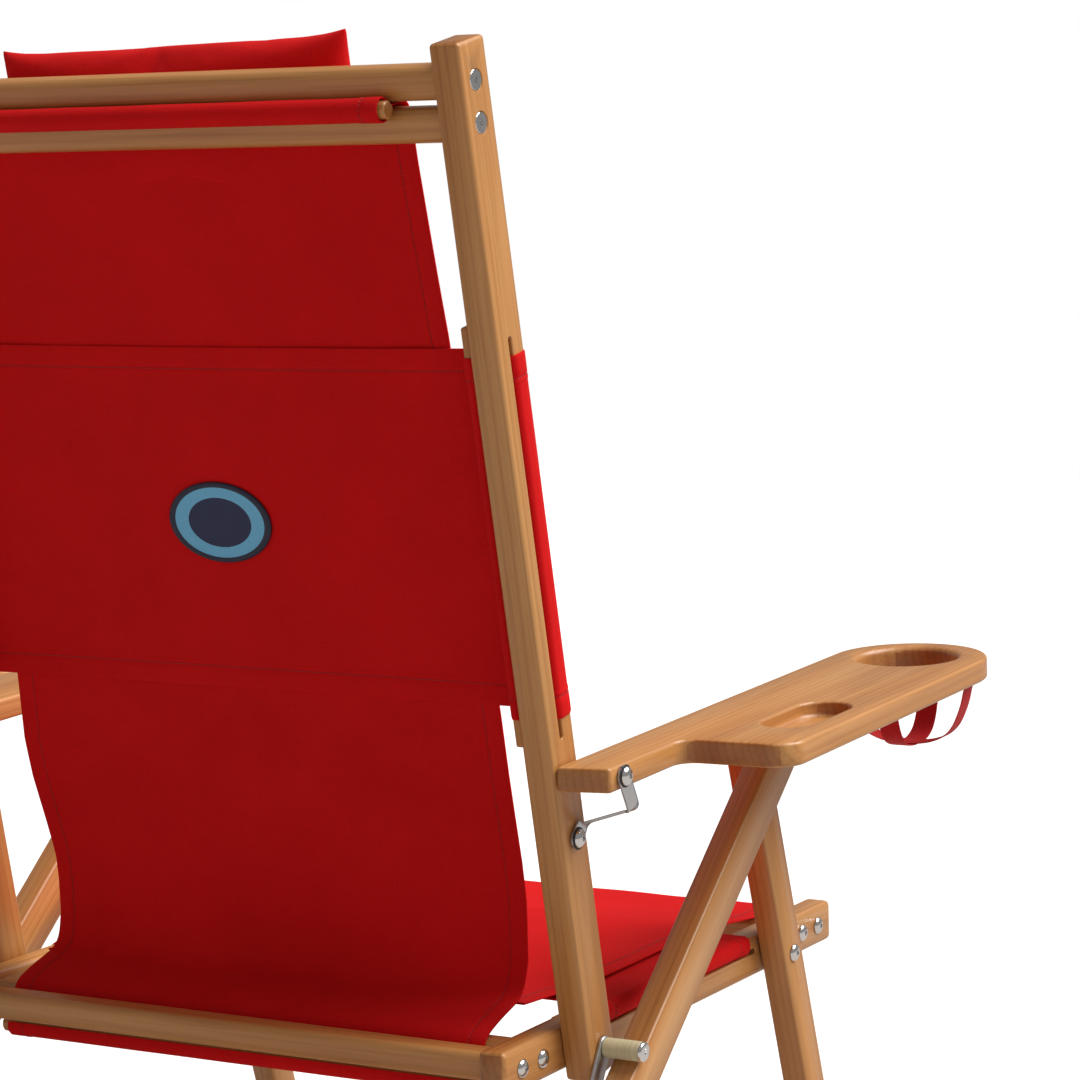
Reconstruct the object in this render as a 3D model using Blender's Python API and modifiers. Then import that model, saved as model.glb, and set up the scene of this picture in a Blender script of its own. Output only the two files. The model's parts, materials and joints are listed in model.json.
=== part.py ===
"""Folding wooden arm chair with a canvas sling seat and back.

Metres, +Z up. The chair faces -Y and its sitter's right hand is at -X.
The origin is the middle of the chair's footprint, on the floor.
"""
import math

import bmesh
import bpy
from mathutils import Matrix

# ---- driving dimensions -------------------------------------------------------------
OUTER_HALF = 0.3130            # middle of the chair to the outer face of an upright
STICK = 0.0246                 # thickness of the rails and legs
GAP = 0.0003                   # clearance between touching pieces
WASHER = 0.0020                # space between a seat rail and the legs beside it
CLOTH = 0.0012                 # cloth thickness
BOLT = 0.0031                  # bolt shank radius
HOLE = 0.00325                 # bolt hole radius
HEAD_RADIUS = 0.0078           # dome bolt head
HEAD_HEIGHT = 0.0040

PIVOT_Y = 0.07765              # upright / seat rail pivot
PIVOT_Z = 0.3400
SEAT_TILT = math.radians(3.2)
RAIL_DEPTH = 0.0370
RAIL_BEHIND = 0.1115           # rail length behind the pivot
RAIL_AHEAD = 0.4880            # rail length ahead of the pivot
FRONT_PIVOT = 0.3546           # upright pivot to front leg pivot, along the rail
BAR_MARGIN = 0.0285            # rail end to the middle of the nearest bar
BAR_PITCH = 0.0325
BAR_WIDTH = 0.0275
BAR_THICK = 0.0240
SEAT_SLOT_Z = 0.0045           # slot for the seat band, above the rail's middle line
SEAT_BAND_REAR = -0.0520
SEAT_BAND_FRONT = -0.3190

LEAN = math.radians(14.3)
BACK_DEPTH = 0.0400
UPRIGHT = 0.0262               # thickness of an upright
BACK_TOP = 0.8266              # pivot to the top end of an upright
BACK_BOTTOM = 0.0240           # pivot to its bottom end
TOP_BAR = 0.7950               # height of the upper top bar on the back
TOP_BAR_PITCH = 0.0327
BAR_EDGE = 0.0085              # rounding of the top bars
COUNTERBORE = 0.0086           # radius of the recess for a cap bolt
COUNTERBORE_DEPTH = 0.0030
BAND_LOW = 0.2838
BAND_HIGH = 0.5806
SLOT_LOW = 0.2700
SLOT_HIGH = 0.5936
SLOT_WIDTH = 0.0050
LINK_PIVOT = 0.1828            # pivot to the link's lower bolt, up the back

FRONT_TILT = math.radians(20.57)
FRONT_DEPTH = 0.0350
FRONT_UPPER = 0.2123           # front pivot to the leg-top pivot
REAR_TILT = math.radians(47.26)
REAR_DEPTH = 0.0412
REAR_PLANE_GAP = 0.0086        # upright plane to rear leg plane
STRETCHER_RADIUS = 0.0125
STRETCHER_DROP = 0.2700        # front pivot to the front stretcher
REAR_STRETCHER = 0.3500        # upright pivot to the rear stretcher, down the rear leg

ARM_TILT = math.radians(4.98)
ARM_THICK = 0.0205
ARM_LENGTH = 0.5810
ARM_WIDTH = 0.1420
NECK_WIDTH = 0.0446
NECK_LENGTH = 0.1270
SHOULDER_IN = 0.0160
SHOULDER_OUT = 0.0260
ARM_GAP = 0.0010               # arm's inner edge to the upright
ARM_RISE = 0.0505              # leg-top pivot to the arm's top face, square to it
ARM_BACK = 0.3470              # leg-top pivot to the arm's rear end, along it
NECK_SKEW = 0.0080             # how much further back the neck's inner corner reaches
CUP_RADIUS = 0.0450
CUP_AHEAD = 0.5120             # arm's rear end to the middle of the cup hole
CUP_ASIDE = 0.0690
TRAY_RADIUS = 0.0235
TRAY_NEAR = 0.2120             # arm's rear end to the tray's rear centre
TRAY_FAR = 0.2770
TRAY_ASIDE = 0.0975
TRAY_DEPTH = 0.0130

GUIDE_TILT = math.radians(27.5)
PEG_RADIUS = 0.0083
PEG_LENGTH = 0.0330
STRAP_THICK = 0.0030
STRAP_HALF = 0.0095
DOWEL_RADIUS = 0.0070
ROLL_RADIUS = 0.0092           # middle of the cloth rolled round a dowel
SLING_HALF = 0.2450
BATTEN_HALF = (0.0040, 0.0070)
BATTEN_SET = 0.0052            # member's inner face to its batten
PILLOW_LOW = (-0.1720, -0.0680, 0.6800)
PILLOW_HIGH = (0.1720, -0.0175, 0.8320)
PILLOW_EDGE = 0.0180

SIDES = (("left", 1.0), ("right", -1.0))

# ---- derived places -----------------------------------------------------------------
INNER_HALF = OUTER_HALF - STICK
BACK_INNER = OUTER_HALF - UPRIGHT
RAIL_OUTER = INNER_HALF - WASHER
RAIL_INNER = RAIL_OUTER - STICK
REAR_INNER = OUTER_HALF + REAR_PLANE_GAP
REAR_OUTER = REAR_INNER + STICK
GUIDE_OFFSET = REAR_DEPTH / 2 + PEG_RADIUS + GAP
GUIDE_SPAN = (REAR_DEPTH + 2 * PEG_RADIUS + 2 * GAP) / math.sin(REAR_TILT - GUIDE_TILT)
ROLL_DROP = BAR_THICK / 2 + ROLL_RADIUS + 0.0015   # middle of a bar to the middle of a cloth roll


def along(point, angle, distance):
    """Point of the side plane (y, z) that lies a distance up a line tilted by an angle."""
    return (point[0] + distance * math.sin(angle), point[1] + distance * math.cos(angle))


BACK_PIVOT = (PIVOT_Y, PIVOT_Z)
LEG_PIVOT = (PIVOT_Y - FRONT_PIVOT * math.cos(SEAT_TILT), PIVOT_Z + FRONT_PIVOT * math.sin(SEAT_TILT))
TOP_PIVOT = along(LEG_PIVOT, FRONT_TILT, FRONT_UPPER)
LINK_LOW = along(BACK_PIVOT, LEAN, LINK_PIVOT)
LINK_HIGH = (LINK_LOW[0] + 0.0058, LINK_LOW[1] + 0.0540)
REAR_TOP = math.hypot(TOP_PIVOT[0] - PIVOT_Y, TOP_PIVOT[1] - PIVOT_Z)


# ---- scene helpers ------------------------------------------------------------------
def clear_scene():
    for obj in list(bpy.data.objects):
        bpy.data.objects.remove(obj, do_unlink=True)


def make_collection(name):
    collection = bpy.data.collections.new(name)
    bpy.context.scene.collection.children.link(collection)
    return collection


def make_material(name, colour, roughness, metallic=0.0):
    material = bpy.data.materials.new(name)
    material.use_nodes = True
    shader = material.node_tree.nodes["Principled BSDF"]
    shader.inputs["Base Color"].default_value = (*colour, 1.0)
    shader.inputs["Roughness"].default_value = roughness
    shader.inputs["Metallic"].default_value = metallic
    return material


def make_frame(name, place, tilt):
    """Empty on a joint's axis; its local Z runs up the member and -Y is its front."""
    empty = bpy.data.objects.new(name, None)
    empty.location = (0.0, place[0], place[1])
    empty.rotation_euler = (tilt, 0.0, 0.0)
    PART.objects.link(empty)
    return empty


def add_object(name, mesh, frame, material):
    obj = bpy.data.objects.new(name, mesh)
    obj.parent = frame
    obj.data.materials.append(material)
    PART.objects.link(obj)
    return obj


def add_bevel(obj, width, segments=2, angle=40.0):
    bevel = obj.modifiers.new("edges", "BEVEL")
    bevel.width = width
    bevel.segments = segments
    bevel.limit_method = "ANGLE"
    bevel.angle_limit = math.radians(angle)
    bevel.use_clamp_overlap = True
    return bevel


def cut(obj, cutter):
    boolean = obj.modifiers.new("cut", "BOOLEAN")
    boolean.operation = "DIFFERENCE"
    boolean.solver = "EXACT"
    boolean.object = cutter
    return boolean


def box_mesh(name, low, high):
    mesh = bpy.data.meshes.new(name)
    work = bmesh.new()
    size = [high[i] - low[i] for i in range(3)]
    middle = [(high[i] + low[i]) / 2 for i in range(3)]
    bmesh.ops.create_cube(work, size=1.0, matrix=Matrix.Translation(middle) @ Matrix.Diagonal((*size, 1.0)))
    work.to_mesh(mesh)
    work.free()
    return mesh


def rod_mesh(name, radius, start, end, segments=20):
    """Cylinder along X from start to end, both (x, y, z)."""
    mesh = bpy.data.meshes.new(name)
    work = bmesh.new()
    length = abs(end[0] - start[0])
    middle = [(start[i] + end[i]) / 2 for i in range(3)]
    turn = Matrix.Translation(middle) @ Matrix.Rotation(math.pi / 2, 4, "Y")
    bmesh.ops.create_cone(work, cap_ends=True, segments=segments, radius1=radius, radius2=radius,
                          depth=length, matrix=turn)
    work.to_mesh(mesh)
    work.free()
    return mesh


def outline_mesh(name, points, thickness, axes):
    """Flat outline given thickness; axes is the matrix from outline space to the frame."""
    curve = bpy.data.curves.new(name, "CURVE")
    curve.dimensions = "2D"
    curve.fill_mode = "BOTH"
    curve.extrude = thickness / 2
    spline = curve.splines.new("POLY")
    spline.points.add(len(points) - 1)
    for vertex, (u, v) in zip(spline.points, points):
        vertex.co = (u, v, 0.0, 1.0)
    spline.use_cyclic_u = True
    holder = bpy.data.objects.new(name, curve)
    PART.objects.link(holder)
    graph = bpy.context.evaluated_depsgraph_get()
    mesh = bpy.data.meshes.new_from_object(holder.evaluated_get(graph))
    bpy.data.objects.remove(holder, do_unlink=True)
    work = bmesh.new()
    work.from_mesh(mesh)
    bmesh.ops.remove_doubles(work, verts=work.verts, dist=0.00001)
    bmesh.ops.transform(work, matrix=axes, verts=work.verts)
    bmesh.ops.recalc_face_normals(work, faces=work.faces)
    work.to_mesh(mesh)
    work.free()
    return mesh


def side_axes(x):
    """Outline (u, v) drawn in the side plane: u is Y, v is Z, at a given x."""
    return Matrix(((0, 0, 1, x), (1, 0, 0, 0), (0, 1, 0, 0), (0, 0, 0, 1)))


def plan_axes(z):
    """Outline drawn in plan: u is X, v is Y, at a given z."""
    return Matrix.Translation((0.0, 0.0, z))


def across_axes(y):
    """Outline drawn across the chair: u is X, v is Z, at a given y."""
    return Matrix(((1, 0, 0, 0), (0, 0, -1, y), (0, 1, 0, 0), (0, 0, 0, 1)))


def turned_mesh(name, profile, place, side, steps=16):
    """Turned solid about X. profile is (radius, height) from the outer tip inwards."""
    mesh = bpy.data.meshes.new(name)
    work = bmesh.new()
    ring = [work.verts.new((radius, 0.0, height)) for radius, height in profile]
    for first, second in zip(ring, ring[1:]):
        work.edges.new((first, second))
    work.to_mesh(mesh)
    work.free()
    holder = bpy.data.objects.new(name, mesh)
    PART.objects.link(holder)
    screw = holder.modifiers.new("turn", "SCREW")
    screw.steps = steps
    screw.render_steps = steps
    screw.use_merge_vertices = True
    screw.merge_threshold = 0.00001
    graph = bpy.context.evaluated_depsgraph_get()
    solid = bpy.data.meshes.new_from_object(holder.evaluated_get(graph))
    bpy.data.objects.remove(holder, do_unlink=True)
    turn = Matrix.Translation(place) @ Matrix.Rotation(side * math.pi / 2, 4, "Y")
    work = bmesh.new()
    work.from_mesh(solid)
    bmesh.ops.remove_doubles(work, verts=work.verts, dist=0.00001)
    bmesh.ops.transform(work, matrix=turn, verts=work.verts)
    bmesh.ops.recalc_face_normals(work, faces=work.faces)
    work.to_mesh(solid)
    work.free()
    solid.shade_smooth()
    solid.set_sharp_from_angle(angle=math.radians(40))
    return solid


def add_cutter(name, mesh, frame):
    cutter = bpy.data.objects.new(name, mesh)
    cutter.parent = frame
    cutter.hide_render = True
    cutter.display_type = "WIRE"
    CUTTERS.objects.link(cutter)
    return cutter


def arc(centre, radius, start, end, count):
    """Points of an arc, angles in degrees, both ends included."""
    points = []
    for step in range(count + 1):
        angle = math.radians(start + (end - start) * step / count)
        points.append((centre[0] + radius * math.cos(angle), centre[1] + radius * math.sin(angle)))
    return points


def stadium(first, second, radius, count=8):
    """Outline with round ends about two points that lie one above the other."""
    return arc(second, radius, 0, 180, count) + arc(first, radius, 180, 360, count)


def ribbon(path, thickness):
    """Closed outline of a thin strip that follows a path of points."""
    left, right = [], []
    for index, point in enumerate(path):
        before = path[max(index - 1, 0)]
        after = path[min(index + 1, len(path) - 1)]
        dx, dy = after[0] - before[0], after[1] - before[1]
        length = math.hypot(dx, dy)
        nx, ny = -dy / length * thickness / 2, dx / length * thickness / 2
        left.append((point[0] + nx, point[1] + ny))
        right.append((point[0] - nx, point[1] - ny))
    return left + right[::-1]


def round_corners(points, radius, count=3):
    """Path with its inner corners replaced by short arcs."""
    result = [points[0]]
    for before, corner, after in zip(points, points[1:], points[2:]):
        ends = []
        for other in (before, after):
            dx, dy = other[0] - corner[0], other[1] - corner[1]
            length = math.hypot(dx, dy)
            reach = min(radius, length * 0.45)
            ends.append((corner[0] + dx / length * reach, corner[1] + dy / length * reach))
        for step in range(count + 1):
            t = step / count
            result.append(tuple((1 - t) ** 2 * ends[0][i] + 2 * t * (1 - t) * corner[i] + t * t * ends[1][i]
                                for i in range(2)))
    result.append(points[-1])
    return result


def dome_profile(head, height, shank, length):
    return [(0.0, height), (head * 0.55, height * 0.88), (head * 0.9, height * 0.5), (head, 0.0),
            (shank, 0.0), (shank, -length), (0.0, -length)]


# ---- back: body "back" --------------------------------------------------------------
def build_upright(side_name, side):
    middle = side * (OUTER_HALF - UPRIGHT / 2)
    low = (middle - UPRIGHT / 2, -BACK_DEPTH / 2, -BACK_BOTTOM)
    high = (middle + UPRIGHT / 2, BACK_DEPTH / 2, BACK_TOP)
    upright = add_object("upright_" + side_name, box_mesh("upright", low, high), BACK, WOOD)
    add_bevel(upright, 0.0035)
    reach = UPRIGHT + 0.02
    slot = outline_mesh("slot", stadium((0.0, SLOT_LOW), (0.0, SLOT_HIGH), SLOT_WIDTH / 2, 4), reach,
                        side_axes(middle))
    cut(upright, add_cutter("upright_slot_" + side_name, slot, BACK))
    holes = [(0.0, HOLE, OUTER_HALF - reach, OUTER_HALF + 0.01)]
    holes.append((LINK_PIVOT, HOLE, OUTER_HALF - 0.016, OUTER_HALF + 0.01))
    for height in (TOP_BAR, TOP_BAR - TOP_BAR_PITCH):
        holes.append((height, HOLE, OUTER_HALF - reach, OUTER_HALF + 0.01))
        holes.append((height, COUNTERBORE, OUTER_HALF - COUNTERBORE_DEPTH, OUTER_HALF + 0.01))
    for index, (height, radius, start, end) in enumerate(holes):
        drill = rod_mesh("drill", radius, (side * start, 0.0, height), (side * end, 0.0, height), 16)
        cut(upright, add_cutter("upright_drill_%s_%d" % (side_name, index), drill, BACK))


def build_top_bar(name, height):
    half = BACK_INNER - GAP
    mesh = box_mesh(name, (-half, -BAR_THICK / 2, height - BAR_WIDTH / 2),
                    (half, BAR_THICK / 2, height + BAR_WIDTH / 2))
    bar = add_object(name, mesh, BACK, WOOD)
    bevel = add_bevel(bar, BAR_EDGE, 3)
    bevel.use_clamp_overlap = False
    for side_name, side in SIDES:
        drill = rod_mesh("drill", HOLE, (side * (half + 0.01), 0.0, height),
                         (side * (half - 0.024), 0.0, height), 12)
        cut(bar, add_cutter("%s_drill_%s" % (name, side_name), drill, BACK))


def build_cap_bolt(name, side, height):
    """Flat socket cap let into the upright, its shank in the end of a top bar."""
    depth = UPRIGHT + 0.0200
    profile = [(0.0, -0.0022), (0.0024, -0.0022), (0.0024, -0.0002), (0.0078, -0.0002), (0.0082, -0.0005),
               (0.0082, -0.0027), (BOLT, -0.0027), (BOLT, -depth), (0.0, -depth)]
    add_object(name, turned_mesh(name, profile, (side * OUTER_HALF, 0.0, height), side, 20), BACK, STEEL)


def roll_path(centre, start, end):
    """Cloth rolled nearly all the way round a dowel."""
    return arc(centre, ROLL_RADIUS, start, end, 14)


def build_back_sling():
    gap_height = TOP_BAR - TOP_BAR_PITCH / 2
    behind = (ROLL_DROP, gap_height)
    roll = roll_path(behind, 215, -115)
    front = -(BAR_THICK / 2 + 0.0012)
    run = [(0.0100, gap_height), (front + 0.0008, gap_height), (front - 0.0010, gap_height - 0.0080),
           (front - 0.0015, 0.7300), (-0.0228, 0.5900), (-0.0232, 0.4300), (-0.0228, 0.2740),
           (-0.0190, 0.1200), (-0.0165, 0.0500)]
    path = roll[::-1] + round_corners(run, 0.0040, 2)
    mesh = outline_mesh("back_sling", ribbon(path, CLOTH), 2 * SLING_HALF, side_axes(0.0))
    add_object("back_sling", mesh, BACK, CANVAS)
    dowel = rod_mesh("dowel", DOWEL_RADIUS, (-SLING_HALF, *behind), (SLING_HALF, *behind))
    add_object("back_sling_dowel", dowel, BACK, WOOD)


def pocket_path(slot_inner, batten_middle, half_thick, half_wide):
    """Cloth of a batten pocket at +X, from its free end round to the slot."""
    near = batten_middle + half_thick
    far = batten_middle - half_thick
    return [(near, -0.0012), (near, -half_wide), (far, -half_wide), (far, half_wide), (near, half_wide),
            (near, 0.0012), (slot_inner, 0.0)]


def build_band(name, batten_name, frame, outer, inner, depth, slot_offset, low, high, flip):
    """Cloth band over two side members: across their fronts, round their outer faces, in through the
    slots, and round a batten on each inner face. Drawn across the chair, then run along the members."""
    thin, wide = BATTEN_HALF
    clear = GAP + CLOTH / 2
    batten_middle = inner - BATTEN_SET - thin
    front = -(depth / 2 + clear)
    wrap = outer + clear
    half = []
    for x, v in pocket_path(inner, batten_middle, thin + 0.0010, wide + 0.0012):
        half.append((x, v + slot_offset))
    half += [(wrap - 0.0015, slot_offset), (wrap, slot_offset - 0.0015), (wrap, front + 0.0030),
             (wrap - 0.0030, front)]
    path = half + [(-x, v) for x, v in half[::-1]]
    points = [(x, flip * v) for x, v in ribbon(path, CLOTH)]
    length = high - low
    if flip > 0:
        axes = Matrix.Translation((0.0, 0.0, (low + high) / 2))
    else:
        axes = Matrix(((1, 0, 0, 0), (0, 0, -1, -(low + high) / 2), (0, 1, 0, 0), (0, 0, 0, 1)))
    add_object(name, outline_mesh(name, points, length, axes), frame, CANVAS)
    for side_name, side in SIDES:
        reach = 0.0240
        x = side * batten_middle
        span = (low - reach, high + reach)
        if flip > 0:
            low_corner = (x - thin, slot_offset - wide, span[0])
            high_corner = (x + thin, slot_offset + wide, span[1])
        else:
            low_corner = (x - thin, -span[1], -slot_offset - wide)
            high_corner = (x + thin, -span[0], -slot_offset + wide)
        batten = add_object(batten_name + side_name, box_mesh("batten", low_corner, high_corner), frame, WOOD)
        add_bevel(batten, 0.0015, 1)


def build_patch():
    mesh = bpy.data.meshes.new("back_patch")
    work = bmesh.new()
    place = Matrix.Translation((0.0, -BACK_DEPTH / 2 + 0.0006, (BAND_LOW + BAND_HIGH) / 2 - 0.0020))
    shape = Matrix.Diagonal((0.0505, 1.0, 0.0345, 1.0))
    turn = Matrix.Rotation(math.pi / 2, 4, "X")
    bmesh.ops.create_cone(work, cap_ends=True, segments=32, radius1=1.0, radius2=1.0, depth=0.0010,
                          matrix=place @ shape @ turn)
    work.to_mesh(mesh)
    work.free()
    add_object("back_patch", mesh, BACK, BADGE)


def build_pillow():
    mesh = box_mesh("pillow", PILLOW_LOW, PILLOW_HIGH)
    pillow = add_object("headrest_pillow", mesh, BACK, CANVAS)
    add_bevel(pillow, PILLOW_EDGE, 3)


def build_back():
    for side_name, side in SIDES:
        build_upright(side_name, side)
        build_cap_bolt("cap_bolt_upper_" + side_name, side, TOP_BAR)
        build_cap_bolt("cap_bolt_lower_" + side_name, side, TOP_BAR - TOP_BAR_PITCH)
    build_top_bar("top_bar_upper", TOP_BAR)
    build_top_bar("top_bar_lower", TOP_BAR - TOP_BAR_PITCH)
    build_back_sling()
    build_band("lumbar_band", "lumbar_batten_", BACK, OUTER_HALF, BACK_INNER, BACK_DEPTH, 0.0, BAND_LOW,
               BAND_HIGH, 1.0)
    build_patch()
    build_pillow()


# ---- seat: body "seat" --------------------------------------------------------------
def build_rail(side_name, side):
    low = (min(side * RAIL_INNER, side * RAIL_OUTER), -RAIL_AHEAD, -RAIL_DEPTH / 2)
    high = (max(side * RAIL_INNER, side * RAIL_OUTER), RAIL_BEHIND, RAIL_DEPTH / 2)
    rail = add_object("seat_rail_" + side_name, box_mesh("rail", low, high), SEAT, WOOD)
    add_bevel(rail, 0.0050, 2)
    middle = side * (RAIL_OUTER - STICK / 2)
    ends = ((SEAT_SLOT_Z, SEAT_BAND_FRONT - 0.010), (SEAT_SLOT_Z, SEAT_BAND_REAR + 0.010))
    outline = [(u, v) for v, u in stadium(*ends, SLOT_WIDTH / 2, 4)]
    slot = outline_mesh("slot", outline, STICK + 0.02, side_axes(middle))
    cut(rail, add_cutter("rail_slot_" + side_name, slot, SEAT))
    for index, place in enumerate((0.0, -FRONT_PIVOT)):
        drill = rod_mesh("drill", HOLE, (side * (RAIL_INNER - 0.01), place, 0.0),
                         (side * (RAIL_OUTER + 0.01), place, 0.0), 16)
        cut(rail, add_cutter("rail_drill_%s_%d" % (side_name, index), drill, SEAT))


def seat_bar_places():
    rear = RAIL_BEHIND - BAR_MARGIN
    front = -RAIL_AHEAD + BAR_MARGIN
    return {"rear_bar_outer": rear, "rear_bar_inner": rear - BAR_PITCH,
            "front_bar_inner": front + BAR_PITCH, "front_bar_outer": front}


def build_seat_bars():
    half = RAIL_INNER - GAP
    for name, place in seat_bar_places().items():
        mesh = box_mesh(name, (-half, place - BAR_WIDTH / 2, -BAR_THICK / 2),
                        (half, place + BAR_WIDTH / 2, BAR_THICK / 2))
        bar = add_object(name, mesh, SEAT, WOOD)
        add_bevel(bar, 0.0060, 2)


def build_seat_sling():
    places = seat_bar_places()
    rear_gap = (places["rear_bar_outer"] + places["rear_bar_inner"]) / 2
    front_gap = (places["front_bar_outer"] + places["front_bar_inner"]) / 2
    rear_roll = roll_path((rear_gap, -ROLL_DROP), 125, 425)
    front_roll = roll_path((front_gap, -ROLL_DROP), 95, -215)
    top = BAR_THICK / 2 + 0.0020
    nose = places["front_bar_outer"] - BAR_WIDTH / 2 - 0.0020
    run = [(rear_gap, -0.0110), (rear_gap, top), (rear_gap - 0.0200, top + 0.0080), (0.0060, 0.0330),
           (-0.0060, 0.0325), (-0.0450, 0.0270), (-0.3300, 0.0225), (front_gap + 0.0280, top + 0.0006),
           (nose, top), (nose, -top), (front_gap - 0.0060, -top)]
    path = rear_roll + round_corners(run, 0.0060, 2) + front_roll
    mesh = outline_mesh("seat_sling", ribbon(path, CLOTH), 2 * SLING_HALF, side_axes(0.0))
    add_object("seat_sling", mesh, SEAT, CANVAS)
    for name, place in (("rear_sling_dowel", rear_gap), ("front_sling_dowel", front_gap)):
        dowel = rod_mesh(name, DOWEL_RADIUS, (-SLING_HALF, place, -ROLL_DROP),
                         (SLING_HALF, place, -ROLL_DROP))
        add_object(name, dowel, SEAT, WOOD)


def build_pivot_bolt(name, side, outer, inner, place, frame):
    """Dome-head bolt along X with a nut at its inner end."""
    length = outer - inner
    profile = dome_profile(HEAD_RADIUS, HEAD_HEIGHT, BOLT, length)[:-2]
    profile += [(BOLT, -length), (0.0070, -length), (0.0070, -length - 0.0050), (0.0, -length - 0.0050)]
    mesh = turned_mesh(name, profile, (side * outer, place[0], place[1]), side)
    return add_object(name, mesh, frame, STEEL)


def build_seat():
    for side_name, side in SIDES:
        build_rail(side_name, side)
        build_pivot_bolt("front_leg_bolt_" + side_name, side, OUTER_HALF + GAP, RAIL_INNER - GAP,
                         (-FRONT_PIVOT, 0.0), SEAT)
    build_seat_bars()
    build_seat_sling()
    build_band("seat_band", "seat_batten_", SEAT, RAIL_OUTER, RAIL_INNER, RAIL_DEPTH, -SEAT_SLOT_Z,
               -SEAT_BAND_REAR, -SEAT_BAND_FRONT, -1.0)


# ---- front legs: body "front_legs" --------------------------------------------------
def leg_outline(depth, top, foot_centre, tilt):
    """Side outline in the leg's own frame: round top end, foot cut level with the floor."""
    slope = math.tan(tilt)
    half = depth / 2
    points = arc((0.0, top), half, 0, 180, 8)
    points += [(-half, foot_centre + half * slope), (half, foot_centre - half * slope)]
    return points


def build_front_legs():
    foot = -(LEG_PIVOT[1] / math.cos(FRONT_TILT))
    for side_name, side in SIDES:
        middle = side * (OUTER_HALF - STICK / 2)
        mesh = outline_mesh("front_leg", leg_outline(FRONT_DEPTH, FRONT_UPPER, foot, -FRONT_TILT), STICK,
                            side_axes(middle))
        leg = add_object("front_leg_" + side_name, mesh, FRONT_LEGS, WOOD)
        add_bevel(leg, 0.0030)
        for index, place in enumerate((0.0, FRONT_UPPER)):
            drill = rod_mesh("drill", HOLE, (side * (INNER_HALF - 0.01), 0.0, place),
                             (side * (OUTER_HALF + 0.01), 0.0, place), 16)
            cut(leg, add_cutter("front_leg_drill_%s_%d" % (side_name, index), drill, FRONT_LEGS))
        tip = REAR_INNER - 0.0010
        head = dome_profile(HEAD_RADIUS, HEAD_HEIGHT, BOLT, tip - INNER_HALF + GAP)
        bolt = turned_mesh("leg_top_bolt", head, (side * (INNER_HALF - GAP), 0.0, FRONT_UPPER), -side)
        add_object("leg_top_bolt_" + side_name, bolt, FRONT_LEGS, STEEL)
    half = INNER_HALF - GAP
    stretcher = rod_mesh("front_stretcher", STRETCHER_RADIUS, (-half, 0.0, -STRETCHER_DROP),
                         (half, 0.0, -STRETCHER_DROP), 20)
    add_object("front_stretcher", stretcher, FRONT_LEGS, WOOD)


# ---- rear legs: body "rear_legs" ----------------------------------------------------
def build_rear_legs():
    """Frame on the upright pivot; the legs' middle line lies in front of it by the guide offset."""
    centre = -GUIDE_OFFSET
    reach = math.sqrt(REAR_TOP ** 2 - GUIDE_OFFSET ** 2)
    foot = -(PIVOT_Z + centre * math.sin(REAR_TILT)) / math.cos(REAR_TILT)
    for side_name, side in SIDES:
        middle = side * (REAR_INNER + STICK / 2)
        points = [(u + centre, v) for u, v in leg_outline(REAR_DEPTH, reach, foot, REAR_TILT)]
        leg = add_object("rear_leg_" + side_name, outline_mesh("rear_leg", points, STICK, side_axes(middle)),
                         REAR_LEGS, WOOD)
        add_bevel(leg, 0.0030)
        cap = dome_profile(HEAD_RADIUS, HEAD_HEIGHT, BOLT, 0.0120)
        mesh = turned_mesh("rear_leg_cap", cap, (side * (REAR_OUTER + GAP), centre, reach), side)
        add_object("rear_leg_cap_" + side_name, mesh, REAR_LEGS, STEEL)
        drill = rod_mesh("drill", HOLE, (side * (REAR_OUTER - 0.0130), centre, reach),
                         (side * (REAR_OUTER + 0.01), centre, reach), 16)
        cut(leg, add_cutter("rear_leg_drill_" + side_name, drill, REAR_LEGS))
    half = REAR_INNER - GAP
    stretcher = rod_mesh("rear_stretcher", STRETCHER_RADIUS, (-half, centre, -REAR_STRETCHER),
                         (half, centre, -REAR_STRETCHER), 20)
    add_object("rear_stretcher", stretcher, REAR_LEGS, WOOD)


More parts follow.
